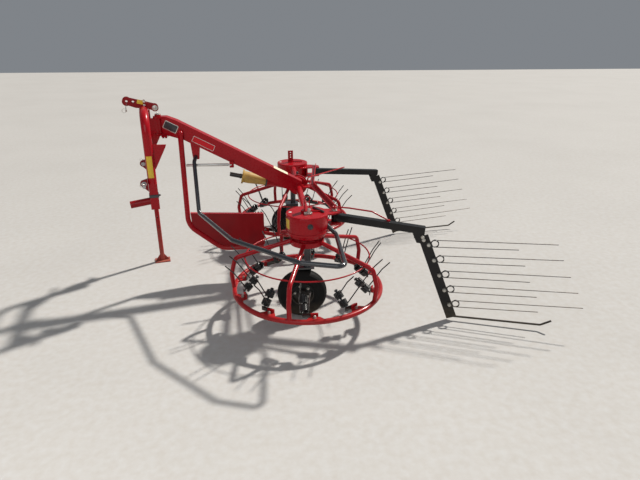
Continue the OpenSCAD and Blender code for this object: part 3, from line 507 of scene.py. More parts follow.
def bar(path, radius, place=UNMOVED, sides=10):
    """Round bar bent along a path, with chamfered ends: a drawn line made a curve with thickness."""
    path = [Vector(point) for point in path]
    chamfer = 0.35 * radius
    before = path[0] + (path[0] - path[1]).normalized() * chamfer
    beyond = path[-1] + (path[-1] - path[-2]).normalized() * chamfer
    draw_line([before, *path, beyond])
    bpy.ops.object.mode_set(mode="OBJECT")
    bpy.ops.object.convert(target="CURVE")
    curve = bpy.context.object.data
    curve.dimensions = "3D"
    curve.bevel_depth = radius
    curve.bevel_resolution = sides // 2 - 2
    curve.use_fill_caps = True
    ends = curve.splines[0].points
    ends[0].radius = ends[-1].radius = 0.6
    bpy.ops.object.convert(target="MESH")
    edit_mode("VERT")
    return object_at(place)


def wire_ring(radius, wire, place, steps, sides):
    """Closed ring of round wire about local z."""
    bpy.ops.object.select_all(action="DESELECT")
    bpy.ops.mesh.primitive_torus_add(major_radius=radius, minor_radius=wire, major_segments=steps,
                                     minor_segments=sides, generate_uvs=False)
    edit_mode("VERT")
    return object_at(place)


def coil(radius, wire, rise, turns, place, steps):
    """Coil of round wire about local z: a circle of the wire's section, wound by a screw."""
    bpy.ops.object.select_all(action="DESELECT")
    bpy.ops.mesh.primitive_circle_add(vertices=8, radius=wire, location=(radius, 0, 0),
                                      rotation=(pi / 2, 0, 0), calc_uvs=False)
    bpy.ops.object.transform_apply()
    screw = bpy.context.object.modifiers.new("winding", "SCREW")
    screw.angle = 2 * pi * turns
    screw.screw_offset = rise
    screw.steps = screw.render_steps = steps
    bpy.ops.object.modifier_apply(modifier=screw.name)
    edit_mode("VERT")
    bpy.ops.mesh.select_all(action="SELECT")
    bpy.ops.mesh.fill_holes(sides=0)
    return object_at(place)


def joined(parts):
    """One object from several."""
    bpy.ops.object.select_all(action="DESELECT")
    for part in parts:
        part.select_set(True)
    bpy.context.view_layer.objects.active = parts[0]
    if len(parts) > 1:
        bpy.ops.object.join()
    return parts[0]


def copies(pattern, places):
    """A copy of a finished part at each place, each with its own mesh; the pattern itself goes."""
    made = []
    for place in places:
        copy = pattern.copy()
        copy.data = pattern.data.copy()
        copy.data.transform(place)
        bpy.context.scene.collection.objects.link(copy)
        made.append(copy)
    mesh = pattern.data
    bpy.data.objects.remove(pattern)
    bpy.data.meshes.remove(mesh)
    return made


def bolt(across=0.016, height=0.009, washer=True, place=UNMOVED):
    """Hex head on a washer, with the bolt's domed end above it."""
    base = WASHER_T if washer else 0.0
    top = base + height
    washer_r = across * 0.66
    end_r = across * 0.27
    dome = [(0, top), (end_r, top), (end_r, top + end_r * 0.7), (end_r * 0.6, top + end_r),
            (0, top + end_r * 1.1)]
    parts = [hexagon(across, base, top, bevel=across * 0.06), turned(dome, steps=12)]
    if washer:
        disc = [(0, 0), (washer_r, 0), (washer_r, base), (0, base)]
        parts.append(turned(disc, steps=18))
    head = joined(parts)
    head.data.transform(place)
    return head


def piece(name, parts, body, material, angle=35, place=UNMOVED):
    """Joins parts into a piece of the scene that moves with a CAD body."""
    obj = joined(parts)
    obj.name = obj.data.name = name
    obj.data.transform(place)
    edit_mode("VERT")
    bpy.ops.mesh.select_all(action="SELECT")
    bpy.ops.mesh.remove_doubles(threshold=MERGE)
    bpy.ops.mesh.normals_make_consistent(inside=False)
    bpy.ops.object.mode_set(mode="OBJECT")
    bpy.ops.object.shade_smooth_by_angle(angle=radians(angle))
    while obj.data.uv_layers:
        obj.data.uv_layers.remove(obj.data.uv_layers[0])
    obj.data.materials.clear()
    obj.data.materials.append(material)
    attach(obj, body)
    return obj


# Rotors: tine units with wound coils, bolts and gussets

TINE_ANGLES = [54 + 36 * k for k in range(10)]
HUB_BOLT_ANGLES = [18 + 36 * k for k in range(10)]
HUB_BOLT_R, HUB_BOLT_Z = 0.109, 0.594
RING_R, RING_Z = 0.515, 0.235
BRACKET_LEN = 0.062
BRACKET_BOLT_R = 0.478
TINE_WIRE = 0.008
TINE_LEN = 0.250
TINE_BEND_R = 0.05
KNEE_AT = 0.7
TINE_RISE, TIP_RISE = 58, 48
COIL_R = 0.030 - TINE_WIRE / 2
COIL_LEN = 0.052
COIL_GAP = 0.006
COIL_TURNS = 5.5
COIL_STEPS = 110
COIL_SHIFT = 0.062
COIL_FOOT = 0.020
COIL_RISE = radians(42)
WOUND = 0.97
TINE_FOOT = COIL_FOOT + 0.012
TINE_STEP = COIL_LEN + 0.010
SHANK_R = RING_R - BRACKET_LEN - SEAT_GAP
SHANK_W, SHANK_H, SHANK_T = COIL_SHIFT + 0.034, 0.030, 0.006
CORE_FOOT = 0.010
CORE_PROFILE = [(0, 0), (0.007, 0), (0.007, 0.124), (0.012, 0.125), (0.012, 0.133),
                (0.007, 0.137), (0, 0.137)]
GUSSET = [(SHANK_R + 0.0115, -0.034), (SHANK_R + 0.0505, -0.064),
          (SHANK_R + 0.0505, 0.064), (SHANK_R + 0.0115, 0.034)]
GUSSET_LOW, GUSSET_TOP = RING_Z + 0.0042, RING_Z + 0.0085


def outward(rise):
    """Direction away from the rotor's axis that rises by so many degrees."""
    return Vector((cos(radians(rise)), 0, sin(radians(rise))))


def tine_unit():
    """One unit: shank, core pin, two wound coils and two bent wires, drawn at the rotor's angle 0."""
    coil_axis = Vector((-cos(COIL_RISE), 0, sin(COIL_RISE)))
    start = Vector((SHANK_R, -COIL_SHIFT, RING_Z + 0.014))
    shank = along((SHANK_R - SHANK_T, (SHANK_T - COIL_SHIFT) / 2, RING_Z + 0.013), (1, 0, 0), (0, 1, 0))
    parts = [plate(SHANK_W, SHANK_H, 0.005, 0, SHANK_T, shank, 0.0012),
             turned(CORE_PROFILE, along(start + coil_axis * CORE_FOOT, coil_axis, (0, 1, 0)), 16)]
    for i, side in enumerate(SIDES.values()):
        base = start + coil_axis * (COIL_FOOT + TINE_WIRE / 2 + i * (COIL_LEN + COIL_GAP))
        parts.append(coil(COIL_R, TINE_WIRE / 2 * WOUND, COIL_LEN - TINE_WIRE, COIL_TURNS,
                          along(base, coil_axis, (0, side, 0)), COIL_STEPS))
        foot = start + coil_axis * (TINE_FOOT + i * TINE_STEP) + Vector((0, side * COIL_R, 0))
        knee = foot + outward(TINE_RISE) * TINE_LEN * KNEE_AT
        tip = knee + outward(TIP_RISE) * TINE_LEN * (1 - KNEE_AT)
        parts.append(bar(rounded_path([foot, knee, tip], TINE_BEND_R), TINE_WIRE / 2))
    return joined(parts)


def dress_rotor(name, side):
    """Tine units, their bolts and gussets, and the bolts of the hub."""
    body = "rotor_" + name
    units = [rotor_place(side, angle) for angle in TINE_ANGLES]
    tines = piece("tine_units_" + name, copies(tine_unit(), units), body, TINE, 40)
    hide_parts("tines_" + name)

    bolts = copies(bolt(0.017, 0.010), [unit @ at(BRACKET_BOLT_R, 0, GUSSET_TOP) for unit in units])
    piece("rotor_bolts_" + name, bolts, body, ZINC)
    hub = [rotor_place(side, angle) @ at(HUB_BOLT_R, 0, HUB_BOLT_Z) for angle in HUB_BOLT_ANGLES]
    piece("hub_bolts_" + name, copies(bolt(0.011, 0.006), hub), body, ROTOR_RED)
    gussets = copies(cut_plate(GUSSET, GUSSET_LOW, GUSSET_TOP, bevel=0.0012), units)
    piece("bracket_gussets_" + name, gussets, body, ROTOR_RED)


for name, side in SIDES.items():
    dress_rotor(name, side)


# Gates: curtain springs, wires, bolts, end caps and corner plates

SPRING_WIRE = 0.007
SPRING_R = 0.029
SPRING_MEAN = SPRING_R - SPRING_WIRE / 2 - 0.002
SPRING_TURNS = 3
SPRING_STEPS = 65
SPRING_EDGE = CURTAIN_W / 2 - 0.008
SPRING_X = SPRING_EDGE + SPRING_R - 0.004
SPRING_FACE = CURTAIN_T / 2 + SEAT_GAP
SPRING_Z = (-0.061, -0.179, -0.297, -0.415, -0.533)
CLAMP_W, CLAMP_H, CLAMP_T = 0.036, 0.040, 0.006
CLAMP_X = SPRING_EDGE - 0.012
CLAMP_BOLT_X = SPRING_EDGE - 0.018
CORNER_T = 0.005
CORNER_BOLT_X = -0.012
CORNER_BOLT_Z = (-0.018, -0.040)
CORNER_OUTLINE = [(-0.082, -0.020), (0.0, -0.020), (0.034, -0.096), (-0.040, -0.096)]
CAP_W, CAP_T = ARM_W - 0.002, 0.004
WIRE_LENGTHS = ((0.770, 0.535), (0.775, 0.545), (0.790, 0.545), (0.810, 0.560), (0.815, 0.540))
WIRE_SHIFT = 0.0026
WIRE_STRAY_Y, WIRE_STRAY_Z = 0.002, 0.003
WIRE_RISE = radians(3)
BACK = Vector((cos(CURTAIN_LEAN - WIRE_RISE), 0, -sin(CURTAIN_LEAN - WIRE_RISE)))
UP = Vector((-BACK.z, 0, BACK.x))


def spring_ring(z):
    """Clamp tongue and the black wound ring of a double spring."""
    tongue = along((CLAMP_X, SPRING_FACE, z), (0, 1, 0), (1, 0, 0))
    winding = along((SPRING_X, SPRING_FACE + SPRING_WIRE / 2, z), (0, 1, 0), (0, 0, 1))
    return [plate(CLAMP_W, CLAMP_H, 0.005, 0, CLAMP_T, tongue, 0.001),
            coil(SPRING_MEAN + 0.001, SPRING_WIRE / 2 * WOUND, SPRING_WIRE * (SPRING_TURNS - 1),
                 SPRING_TURNS - 0.5, winding, SPRING_STEPS)]


def spring_wires(row, z):
    """The two wires of a double spring: one leaves the ring's top, one its bottom, and they hardly sag."""
    wires = []
    for i, length in enumerate(WIRE_LENGTHS[row]):
        y = SPRING_FACE + SPRING_WIRE * SPRING_TURNS / 2 + (2 * i - 1) * WIRE_SHIFT
        foot = Vector((SPRING_X, y, z)) + UP * (1 - 2 * i) * SPRING_MEAN
        stray_y = WIRE_STRAY_Y * ((row * 7 + i * 3) % 5 - 2)
        stray_z = WIRE_STRAY_Z * ((row * 5 + i * 2) % 3 - 1)
        stray = Vector((0, stray_y, stray_z))
        path = [foot + BACK * length * t + stray * t * t for t in (0, 0.2, 0.4, 0.6, 0.8, 1.0)]
        wires.append(bar(path, SPRING_WIRE / 2 * 0.9, sides=8))
    return wires


def curtain_bolts():
    """A bolt through each spring's clamp, with its nut on the far face, and two through the corner plate."""
    places = []
    for z in SPRING_Z:
        places.append(along((CLAMP_BOLT_X, SPRING_FACE + CLAMP_T, z - SPRING_MEAN), (0, 1, 0)))
        places.append(along((CLAMP_BOLT_X, -CURTAIN_T / 2, z - SPRING_MEAN), (0, -1, 0)))
    for z in CORNER_BOLT_Z:
        places.append(along((CORNER_BOLT_X, SPRING_FACE + CORNER_T, z), (0, 1, 0)))
    return copies(bolt(0.019, 0.009), places)


def dress_gate(name, side, angle):
    """Springs, wires and bolts of the curtain, and the cap and corner plate at the arm's end."""
    body = "gate_" + name
    curtain = curtain_place(side, angle)
    wires = [wire for row, z in enumerate(SPRING_Z) for wire in spring_wires(row, z - SPRING_MEAN)]
    wires = piece("curtain_wires_" + name, wires, body, WIRE, 40, curtain)
    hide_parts("gate_springs_" + name)
    rings = [part for z in SPRING_Z for part in spring_ring(z - SPRING_MEAN)]
    piece("curtain_rings_" + name, rings, body, TINE, 40, curtain)
    piece("curtain_bolts_" + name, curtain_bolts(), body, ZINC, place=curtain)

    arm = arm_place(side, angle)
    cap = plate(CAP_W, CAP_W, 0.006, 0, CAP_T, along((ARM_LEN, 0, 0), (1, 0, 0), (0, 0, 1)), 0.001)
    piece("gate_arm_cap_" + name, [cap], body, BLACK, place=arm)
    corner = cut_plate([(ARM_LEN + x, z) for x, z in CORNER_OUTLINE], 0, CORNER_T,
                       along((0, SPRING_FACE + CORNER_T, 0), (0, -1, 0), (1, 0, 0)))
    piece("gate_corner_" + name, [corner], body, BLACK, place=arm)


for name, (side, angle) in GATES.items():
    dress_gate(name, side, angle)


# Gate rods

ROD_R = 0.0055


def rod_foot(radius, height, place):
    """Button at the foot of a rod."""
    profile = [(0, 0), (radius, 0), (radius, 0.004), (radius - 0.004, height), (0, height)]
    return turned(profile, place, 16)


def gate_latch_rod():
    """Bent latch rod of the near gate: its eye lies over the hinge pin, its foot on the arm."""
    top = ARM_W / 2
    foot_x, foot_y = 0.376, -0.010
    foot_z = top - foot_x * tan(ARM_DROOP)
    rod = [(0.014, 0, top + 0.046), (0.100, -0.004, top + 0.044), (0.262, -0.006, top + 0.030),
           (foot_x, foot_y, foot_z + 0.004)]
    parts = [wire_ring(0.012, 0.005, at(0, 0, top + 0.046), 20, 10),
             bar(rounded_path(rod, 0.03), ROD_R, sides=12),
             rod_foot(0.013, 0.009, at(foot_x, foot_y, foot_z))]
    arm = gate_place(*GATES["left"]) @ at(0, 0, GATE_Z)
    piece("gate_latch_rod", parts, "gate_left", RED, place=arm)


def gate_stay_rod():
    """Straight stay rod of the far gate: it stands on the strut's foot and ends just over the arm."""
    stay = [(-0.070, -0.024, 0.7545), (-0.082, -0.034, 0.812), (-0.490, -0.700, 0.727)]
    parts = [bar(rounded_path(stay, 0.012), ROD_R, sides=12),
             rod_foot(0.012, 0.008, at(-0.070, -0.024, 0.7543))]
    piece("gate_stay_rod", parts, "machine", RED, place=MACHINE)


gate_latch_rod()
gate_stay_rod()


# Wheels: ribbed tyres and nuts

TYRE_R, TYRE_HALF, RIM_R = 0.1765, 0.045, 0.082
NUT_CIRCLE_R = 0.052
VALVE = [(0.066, 0.0, 0.006), (0.066, 0.0, 0.020), (0.070, 0.0, 0.034)]


def tyre_profile():
    """Side walls with a bead ring each, and a crown with three grooves between ribs."""
    side = [(RIM_R + 0.0003, 0.037), (RIM_R + 0.006, 0.0395), (RIM_R + 0.012, 0.0405),
            (RIM_R + 0.016, 0.043), (RIM_R + 0.020, 0.0425), (RIM_R + 0.040, TYRE_HALF),
            (TYRE_R - 0.034, 0.0442), (TYRE_R - 0.026, 0.0415), (TYRE_R - 0.022, 0.042),
            (TYRE_R - 0.014, 0.0352), (TYRE_R - 0.004, 0.0232)]
    crown = [(TYRE_R - 0.0012, 0.016), (TYRE_R - 0.0065, 0.0152), (TYRE_R - 0.0065, 0.0122),
             (TYRE_R - 0.0004, 0.0112), (TYRE_R, 0.0035), (TYRE_R - 0.006, 0.0026)]
    half = side + crown
    return half + [(r, -h) for r, h in reversed(half)]


def dress_wheel(name, side):
    """Ribbed tyre, and the wheel's nuts with its valve."""
    body = "wheel_" + name
    wheel = MACHINE @ flip_y(side) @ at(AXLE_X, ROTOR_Y, AXLE_Z) @ Matrix.Rotation(-pi / 2, 4, "X")
    tyre = piece("ribbed_tyre_" + name, [turned(tyre_profile(), steps=72)], body, RUBBER, 30, wheel)
    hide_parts("tyre_" + name)
    nuts = copies(bolt(0.014, 0.008),
                  [Matrix.Rotation(2 * pi * k / 5, 4, "Z") @ at(NUT_CIRCLE_R, 0, 0.006) for k in range(5)])
    valve = bar(rounded_path(VALVE, 0.006), 0.0028, sides=8)
    piece("wheel_nuts_" + name, [*nuts, valve], body, ZINC, place=wheel)


for name, side in SIDES.items():
    dress_wheel(name, side)


# Drums: plugs, labels, top rod, catch and hook

PLUG_Z = 0.724
DRUM_LABEL_LOW, DRUM_LABEL_HIGH = 0.686, 0.752
DRUM_LABEL_START = {"left": radians(8), "right": radians(-30)}
DRUM_LABEL_SWEEP = radians(22)
DOT_X, DOT_Y = 0.112, -0.012


def dress_drum(name, side):
    """Filler plug on the drum's wall, curved blank label beside it and a round one on the top."""
    drum = MACHINE @ at(0, side * ROTOR_Y, 0)
    facing = Vector((-0.06, side, 0)).normalized()
    wall = along(facing * (DRUM_WALL_R - 0.001) + Vector((0, 0, PLUG_Z)), facing)
    collar = [(0, 0), (0.019, 0), (0.019, 0.005), (0.015, 0.007), (0, 0.007)]
    plug = [turned(collar, wall, 24), hexagon(0.019, 0.006, 0.014, wall)]
    piece("drum_plug_" + name, plug, "machine", LABEL_DARK, place=drum)
    label = wrapped_label(DRUM_WALL_R + 0.0002, DRUM_LABEL_LOW, DRUM_LABEL_HIGH, DRUM_LABEL_START[name],
                          DRUM_LABEL_SWEEP, 8)
    piece("drum_label_" + name, [label], "machine", LABEL_YELLOW, place=drum)
    disc = [(0, 0), (0.011, 0), (0.011, 0.0004), (0.010, 0.0008), (0, 0.0008)]
    dot = turned(disc, at(DOT_X, DOT_Y, DRUM_TOP + 0.0001), 20)
    piece("drum_dot_" + name, [dot], "machine", LABEL_WHITE, place=drum)


def drum_top_rod():
    """Dark rod with its bright catch, flat on the near drum beside the bar."""
    rod_z = DRUM_TOP + 0.0075
    rod = bar([(-0.050, ROTOR_Y - 0.082, rod_z), (-0.110, ROTOR_Y + 0.030, rod_z)], 0.0070, sides=12)
    piece("drum_top_rod", [rod], "machine", LABEL_DARK, place=MACHINE)
    base = plate(0.054, 0.030, 0.005, SEAT_GAP, 0.012, at(-0.004, ROTOR_Y + 0.046, DRUM_TOP), 0.0015)
    knob = [(0, 0.011), (0.012, 0.011), (0.012, 0.034), (0.008, 0.039), (0, 0.039)]
    parts = [base, turned(knob, at(-0.010, ROTOR_Y + 0.044, DRUM_TOP), 20)]
    piece("drum_top_catch", parts, "machine", ZINC, place=MACHINE)


def drum_hook_ring():
    """Hook ring in the near drum's flat bar."""
    ring = at(-0.001, ROTOR_Y, DRUM_TOP + SEAT_GAP + 0.090) @ Matrix.Rotation(pi / 2, 4, "X")
    hook = [(-0.016, ROTOR_Y, DRUM_TOP + 0.074), (-0.018, ROTOR_Y + 0.004, DRUM_TOP + 0.046),
            (-0.012, ROTOR_Y + 0.010, DRUM_TOP + 0.030)]
    parts = [wire_ring(0.020, 0.003, ring, 24, 8), bar(rounded_path(hook, 0.006), 0.0035, sides=8)]
    piece("drum_hook_ring", parts, "machine", RED, place=MACHINE)


for name, side in SIDES.items():
    dress_drum(name, side)
drum_top_rod()
drum_hook_ring()


# Boom: blank plates, label, guard tube end, brace and rim

BOOM_DIR = Vector((cos(BOOM_RISE), 0, sin(BOOM_RISE)))
BOOM_UP = Vector((-sin(BOOM_RISE), 0, cos(BOOM_RISE)))
GUARD_TUBE_X = 0.885
BRACE_END_X = 0.510
TOP_LABEL_X = 0.165
BOOM_FRONT = PIVOT_X - 0.062
SHEET_EDGE = [(0.866, 0.0603, 0.5765), (0.294, 0.0603, 0.5505)]


def boom_z(x):
    return BOOM_AXIS_Z + x * tan(BOOM_RISE)


def boom_under(x):
    """Height of the boom's underside."""
    return boom_z(x) - BOOM_HALF_H / cos(BOOM_RISE)


GUARD_TUBE_Y = BOOM_HALF_W + SEAT_GAP + GUARD_TUBE_R
PLATE_X, PLATE_UP = 0.950, -0.008
BAND_X, BAND_UP = 0.716, -0.014
# name, finish, place along and above the boom's axis, size with corner, the two heights, bevel
BOOM_PLATES = (
    ("boom_plate_rim_", ZINC, PLATE_X, PLATE_UP, (0.105, 0.062, 0.008), 0, 0.0012, 0.0004),
    ("boom_plate_", LABEL_DARK, PLATE_X, PLATE_UP, (0.095, 0.052, 0.006), 0.0011, 0.0018, 0.0002),
    ("boom_band_", LABEL_WHITE, BAND_X, BAND_UP, (0.175, 0.046, 0.006), 0, 0.0008, 0.0002),
    ("boom_band_inner_", LABEL_RED, BAND_X, BAND_UP, (0.169, 0.040, 0.005), 0.0007, 0.0013, 0.0002),
)


def boom_plates(name, side):
    """Blank plate on its bright rim, and blank band on its white one, on one side of the boom."""
    for label, material, x, up, size, low, high, bevel in BOOM_PLATES:
        wall = along(Vector((x, side * BOOM_HALF_W, boom_z(x))) + BOOM_UP * up, (0, side, 0), BOOM_DIR)
        piece(label + name, [plate(*size, low, high, wall, bevel)], "machine", material, place=MACHINE)


def boom_top_label():
    """Pale blank label on the boom's top, near the cross tube."""
    top = along(Vector((TOP_LABEL_X, 0, boom_z(TOP_LABEL_X))) + BOOM_UP * BOOM_HALF_H, BOOM_UP, BOOM_DIR)
    piece("boom_top_label", [plate(0.125, 0.076, 0.006, 0, 0.0009, top)], "machine", CREAM, place=MACHINE)


def guard_tube_end():
    """Domed end of the guard tube on the boom's near side."""
    radius, wall_top, dome_rise = GUARD_TUBE_R + 0.0004, 0.022, 0.018
    profile = [(0, 0), (radius, 0), (radius, wall_top)]
    for k in range(1, 8):
        profile.append((radius * cos(k * pi / 16), wall_top + dome_rise * sin(k * pi / 16)))
    profile.append((0, wall_top + dome_rise))
    tube_top = (GUARD_TUBE_X, GUARD_TUBE_Y, boom_z(GUARD_TUBE_X) - 0.037)
    dome = turned(profile, along(tube_top, (-0.02, 0, 1)), 32)
    piece("guard_tube_end", [dome], "machine", RED, place=MACHINE)


def brace_sleeve():
    """Pale sleeve over the brace rod."""
    profile = [(0, 0), (0.0088, 0), (0.0105, 0.003), (0.0105, 0.317), (0.0088, 0.320), (0, 0.320)]
    start = (BRACE_END_X + 0.031, GUARD_TUBE_Y, boom_under(BRACE_END_X) - 0.0045)
    sleeve = turned(profile, along(start, (0.370, 0, 0.004)), 24)
    piece("brace_sleeve", [sleeve], "machine", BRACE, place=MACHINE)


def pivot_cheeks():
    """Cheeks between the pivot lugs, flush with the boom's sides and clear of the knuckle."""
    thickness = 0.006
    cheeks = []
    for side in (-1, 1):
        centre = (BOOM_FRONT + 0.0218, side * (BOOM_HALF_W - thickness), boom_z(BOOM_FRONT) - 0.018)
        wall = along(centre, (0, side, 0), (1, 0, 0))
        cheeks.append(plate(0.0224, 0.1085, 0.004, 0, thickness, wall, 0.001))
    piece("pivot_cheeks", cheeks, "machine", RED, place=MACHINE)


def brace_clamp():
    """Red clamp with its bolt over the brace's inner end."""
    thickness = 0.0245
    centre = (BRACE_END_X + 0.010, BOOM_HALF_W + 0.0004, boom_under(BRACE_END_X) - 0.004)
    clamp = along(centre, (0, 1, 0), (1, 0, 0))
    parts = [plate(0.0335, 0.0475, 0.004, 0, thickness, clamp, 0.0015),
             bolt(0.013, 0.006, place=clamp @ at(0, 0.010, thickness))]
    piece("brace_clamp", parts, "machine", RED, place=MACHINE)


def guard_sheet_rim():
    """Round rim along the guard sheet's top edge, in a lighter red that is a painted highlight of the lit
    edge.
    """
    rim = bar(SHEET_EDGE, 0.0055, sides=12)
    piece("guard_sheet_rim", [rim], "machine", HIGHLIGHT_RED, place=MACHINE)


for name, side in SIDES.items():
    boom_plates(name, side)
boom_top_label()
guard_tube_end()
brace_sleeve()
pivot_cheeks()
brace_clamp()
guard_sheet_rim()


# Gearbox, input shaft and gate hinges

SHAFT_DIR = Vector((cos(SHAFT_RISE), 0, sin(SHAFT_RISE)))
FLANGE_X = 0.2505
FLANGE_T = 0.012
COVER_Y = -(0.049 + SEAT_GAP + 0.096)
COVER_BOLT_R = 0.060
HINGE_TOP, HINGE_BOTTOM = 0.7540, 0.6660


def input_guard_flange():
    """Dark flange with four small screws at the foot of the shaft's guard."""
    start = Vector((FLANGE_X, SHAFT_Y, SHAFT_AXIS_Z + FLANGE_X * tan(SHAFT_RISE)))
    profile = [(0.0375, 0.0), (0.045, 0.0), (0.0465, 0.002), (0.0465, 0.010), (0.044, FLANGE_T),
               (0.0375, FLANGE_T)]
    face = along(start + SHAFT_DIR * FLANGE_T, SHAFT_DIR, (0, 0, 1))
    screws = [face @ Matrix.Rotation(pi / 4 + k * pi / 2, 4, "Z") @ at(0.042, 0, 0) for k in range(4)]
    parts = [turned(profile, along(start, SHAFT_DIR), 40), *copies(bolt(0.006, 0.004, washer=False), screws)]
    piece("input_guard_flange", parts, "machine", LABEL_DARK, place=MACHINE)


def gearbox_fittings():
    """Bolts of the gearbox's side cover, and the breather on its top."""
    places = []
    for k in range(6):
        angle = radians(60 * k + 30)
        bolt_z = GEARBOX_Z + COVER_BOLT_R * sin(angle)
        places.append(along((COVER_BOLT_R * cos(angle), COVER_Y, bolt_z), (0, -1, 0)))
    bolts = copies(bolt(0.014, 0.008), places)
    piece("gearbox_bolts", bolts, "machine", ZINC, place=MACHINE)
    profile = [(0, 0), (0.012, 0), (0.012, 0.006), (0.007, 0.008), (0.007, 0.016), (0.010, 0.018),
               (0.010, 0.026), (0.006, 0.030), (0, 0.030)]
    breather = turned(profile, at(0, -0.120, GEARBOX_Z + 0.0735), 20)
    piece("gearbox_breather", [breather], "machine", LABEL_DARK, place=MACHINE)


def gate_hinge_nuts():
    """Washer and nut over and under each gate's hinge."""
    washer = [(0.0105, 0), (0.021, 0), (0.021, 0.003), (0.0105, 0.003)]
    nut = joined([turned(washer, steps=24), hexagon(0.030, 0.003, 0.010, bevel=0.0015)])
    places = []
    for side in SIDES.values():
        for z, direction in ((HINGE_TOP, 1), (HINGE_BOTTOM, -1)):
            places.append(flip_y(side) @ along(HINGE + Vector((0, 0, z)), (0, 0, direction)))
    piece("gate_hinge_nuts", copies(nut, places), "machine", ZINC, place=MACHINE)


input_guard_flange()
gearbox_fittings()
gate_hinge_nuts()


# Headstock: labels, bolts, linch pins, stand pin, leg clamp and pivot cap

LUG_PIN_Y = 0.3415 + 0.092 - 0.016
SLEEVE_T = 0.006
STAND_HALF = 0.019
STAND_Y = -(HALF_SPAN + LEG_R + SEAT_GAP + SLEEVE_T + STAND_HALF)
STAND_PIN_Y = STAND_Y - 0.026
STAND_PIN_Z = 0.658


def headstock_labels():
    """Blank labels round the left leg and on the near top link plate."""
    leg = wrapped_label(LEG_R + 0.0002, 0.945, 1.100, radians(45), radians(75), 10, at(HOOP_X, HALF_SPAN, 0))
    piece("leg_label_left", [leg], "headstock", LABEL_YELLOW, place=HEADSTOCK)
    top = plate(0.042, 0.030, 0.004, 0, 0.0008, along((0.112, 0.0362, 1.436), (0, 1, 0), (1, 0, 0.25)))
    piece("top_plate_label", [top], "headstock", LABEL_YELLOW, place=HEADSTOCK)


def headstock_bolts():
    """Bolts of the top link plates on both sides and of the bridge plate."""
    top, small, bridge = [], [], []
    for side in SIDES.values():
        top.append(along((0.014, side * TOP_PLATE_FACE, 1.391), (0, side, 0)))
        small += [along((0.085, side * TOP_PLATE_FACE, z), (0, side, 0)) for z in (1.413, 1.437)]
        bridge += [along((BRIDGE_FACE_X, side * y, HOOP_BOLT_Z), (1, 0, 0)) for y in (0.215, 0.060)]
    bolts = copies(bolt(0.030, 0.010), top)
    bolts += copies(bolt(0.013, 0.007), small)
    bolts += copies(bolt(0.018, 0.010), bridge)
    piece("headstock_bolts", bolts, "headstock", ZINC, place=HEADSTOCK)


def linch_pin(place, size):
    """Locking pin along local z, with its sprung ring to one side."""
    profile = [(0, -0.022), (0.0035, -0.019), (0.0045, 0.012), (0.0080, 0.014), (0.0080, 0.022),
               (0.0050, 0.026), (0, 0.026)]
    pin = turned([(radius * size, height * size) for radius, height in profile], place, 14)
    ring_r, ring_z = 0.018 * size, 0.016 * size
    angles = [radians(200 - 320 * k / 22) for k in range(23)]
    ring = [Vector((ring_r + ring_r * cos(angle), 0, ring_z + ring_r * sin(angle))) for angle in angles]
    return [pin, bar(ring, 0.0018 * size, place, 8)]


def linch_pins():
    """Pin of the top link with its short chain wire, and one in each lower link pin."""
    parts = linch_pin(at(0.214, 0.043, 1.392) @ Matrix.Rotation(pi, 4, "X"), 0.8)
    wire = rounded_path([(0.206, 0.0375, 1.428), (0.210, 0.043, 1.414), (0.213, 0.043, 1.402)], 0.004)
    parts.append(bar(wire, 0.0014, sides=6))
    for side in SIDES.values():
        parts += linch_pin(at(0.153, side * LUG_PIN_Y, 0.905) @ Matrix.Rotation(0.2 * side, 4, "Y"), 0.7)
    piece("linch_pins", parts, "headstock", ZINC, place=HEADSTOCK)


def stand_lock_pin():
    """Locking pin of the parking stand, in the sleeve's outer lug."""
    pin = [(HOOP_X, STAND_PIN_Y - 0.020, STAND_PIN_Z), (HOOP_X, STAND_PIN_Y - 0.050, STAND_PIN_Z),
           (HOOP_X + 0.004, STAND_PIN_Y - 0.056, STAND_PIN_Z + 0.042)]
    collar = [(0, 0), (0.011, 0), (0.011, 0.006), (0.006, 0.008), (0, 0.008)]
    parts = [bar(rounded_path(pin, 0.008), 0.0055),
             turned(collar, along((HOOP_X, STAND_PIN_Y - 0.026, STAND_PIN_Z), (0, -1, 0)), 18)]
    piece("stand_lock_pin", parts, "headstock", ZINC, place=HEADSTOCK)


def leg_clamp():
    """Clamp ring with its bolt at the lower end of the left leg's box, above the stub."""
    parts = [plate(0.068, 0.068, 0.004, 0.800, 0.822, at(HOOP_X, HALF_SPAN, 0), 0.002),
             bolt(0.013, 0.008, place=along((HOOP_X - 0.034, HALF_SPAN + 0.010, 0.811), (-1, 0, 0)))]
    piece("leg_clamp_left", parts, "headstock", GREY, place=HEADSTOCK)


def pivot_pin_cap():
    """Cap of the pivot pin over the lugs, with its grease nipple."""
    cap_place = at(0, 0, PIVOT_TOP + 0.0112)
    cap = [(0, 0), (0.019, 0), (0.021, 0.003), (0.019, 0.007), (0.008, 0.009), (0, 0.009)]
    grease_nipple = [(0, 0.008), (0.004, 0.008), (0.004, 0.014), (0.0025, 0.016), (0, 0.017)]
    parts = [turned(cap, cap_place, 28), turned(grease_nipple, cap_place, 12)]
    piece("pivot_pin_cap", parts, "headstock", ZINC, place=HEADSTOCK)


headstock_labels()
headstock_bolts()
linch_pins()
stand_lock_pin()
leg_clamp()
pivot_pin_cap()


# Floor and light

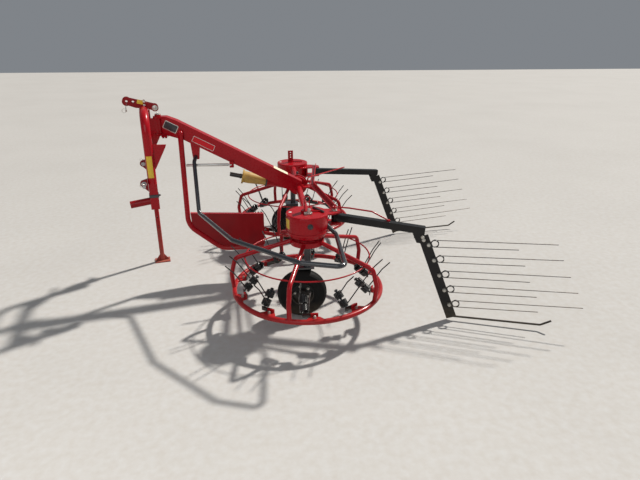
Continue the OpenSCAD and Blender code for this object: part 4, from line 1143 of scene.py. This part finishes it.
FLOOR_SIZE = 60.0
SKY_COLOR = (0.86, 0.92, 1.0, 1)
SKY_STRENGTH = 0.25
AIM = ORIGIN + Vector((0.2, 0, 0.6))


def studio_floor():
    """Plain pale floor, which is no part of the machine."""
    bpy.ops.object.select_all(action="DESELECT")
    bpy.ops.mesh.primitive_plane_add(size=FLOOR_SIZE, location=(0, 0, 0), calc_uvs=False)
    floor = bpy.context.object
    floor.name = floor.data.name = "studio_floor"
    floor.data.materials.append(FLOOR)


def sky():
    """Soft, slightly blue light from all round."""
    world = bpy.data.worlds.new("studio")
    bpy.context.scene.world = world
    world.use_nodes = True
    background = world.node_tree.nodes["Background"]
    background.inputs["Color"].default_value = SKY_COLOR
    background.inputs["Strength"].default_value = SKY_STRENGTH


def lamp(name, kind, place, energy, **settings):
    """Lamp that shines at the machine's middle."""
    data = bpy.data.lights.new(name, kind)
    data.energy = energy
    for key, value in settings.items():
        setattr(data, key, value)
    obj = bpy.data.objects.new(name, data)
    obj.location = ORIGIN + Vector(place)
    obj.rotation_euler = (AIM - obj.location).to_track_quat("-Z", "Y").to_euler()
    bpy.context.scene.collection.objects.link(obj)


studio_floor()
sky()
lamp("key", "SUN", (-4, -3, 6), 4.8, angle=radians(3), color=(1.0, 0.96, 0.90))
lamp("fill", "AREA", (1.5, 5.0, 3.6), 75, shape="RECTANGLE", size=4.0, size_y=3.0)


# Camera

CAMERA_PLACE = Vector((0.285, 3.93, 1.854))
CAMERA_PITCH, CAMERA_TURN = radians(21.8), radians(6.7)
LENS, SENSOR_WIDTH = 28.125, 36.0

camera_data = bpy.data.cameras.new("camera")
camera_data.lens = LENS
camera_data.sensor_width = SENSOR_WIDTH
camera_data.clip_end = 200.0
camera = bpy.data.objects.new("camera", camera_data)
camera.location = ORIGIN + CAMERA_PLACE
camera.rotation_euler = (pi / 2 - CAMERA_PITCH, 0, pi - CAMERA_TURN)
bpy.context.scene.collection.objects.link(camera)
bpy.context.scene.camera = camera
bpy.context.scene.view_settings.view_transform = "Standard"
bpy.context.scene.view_settings.look = "None"
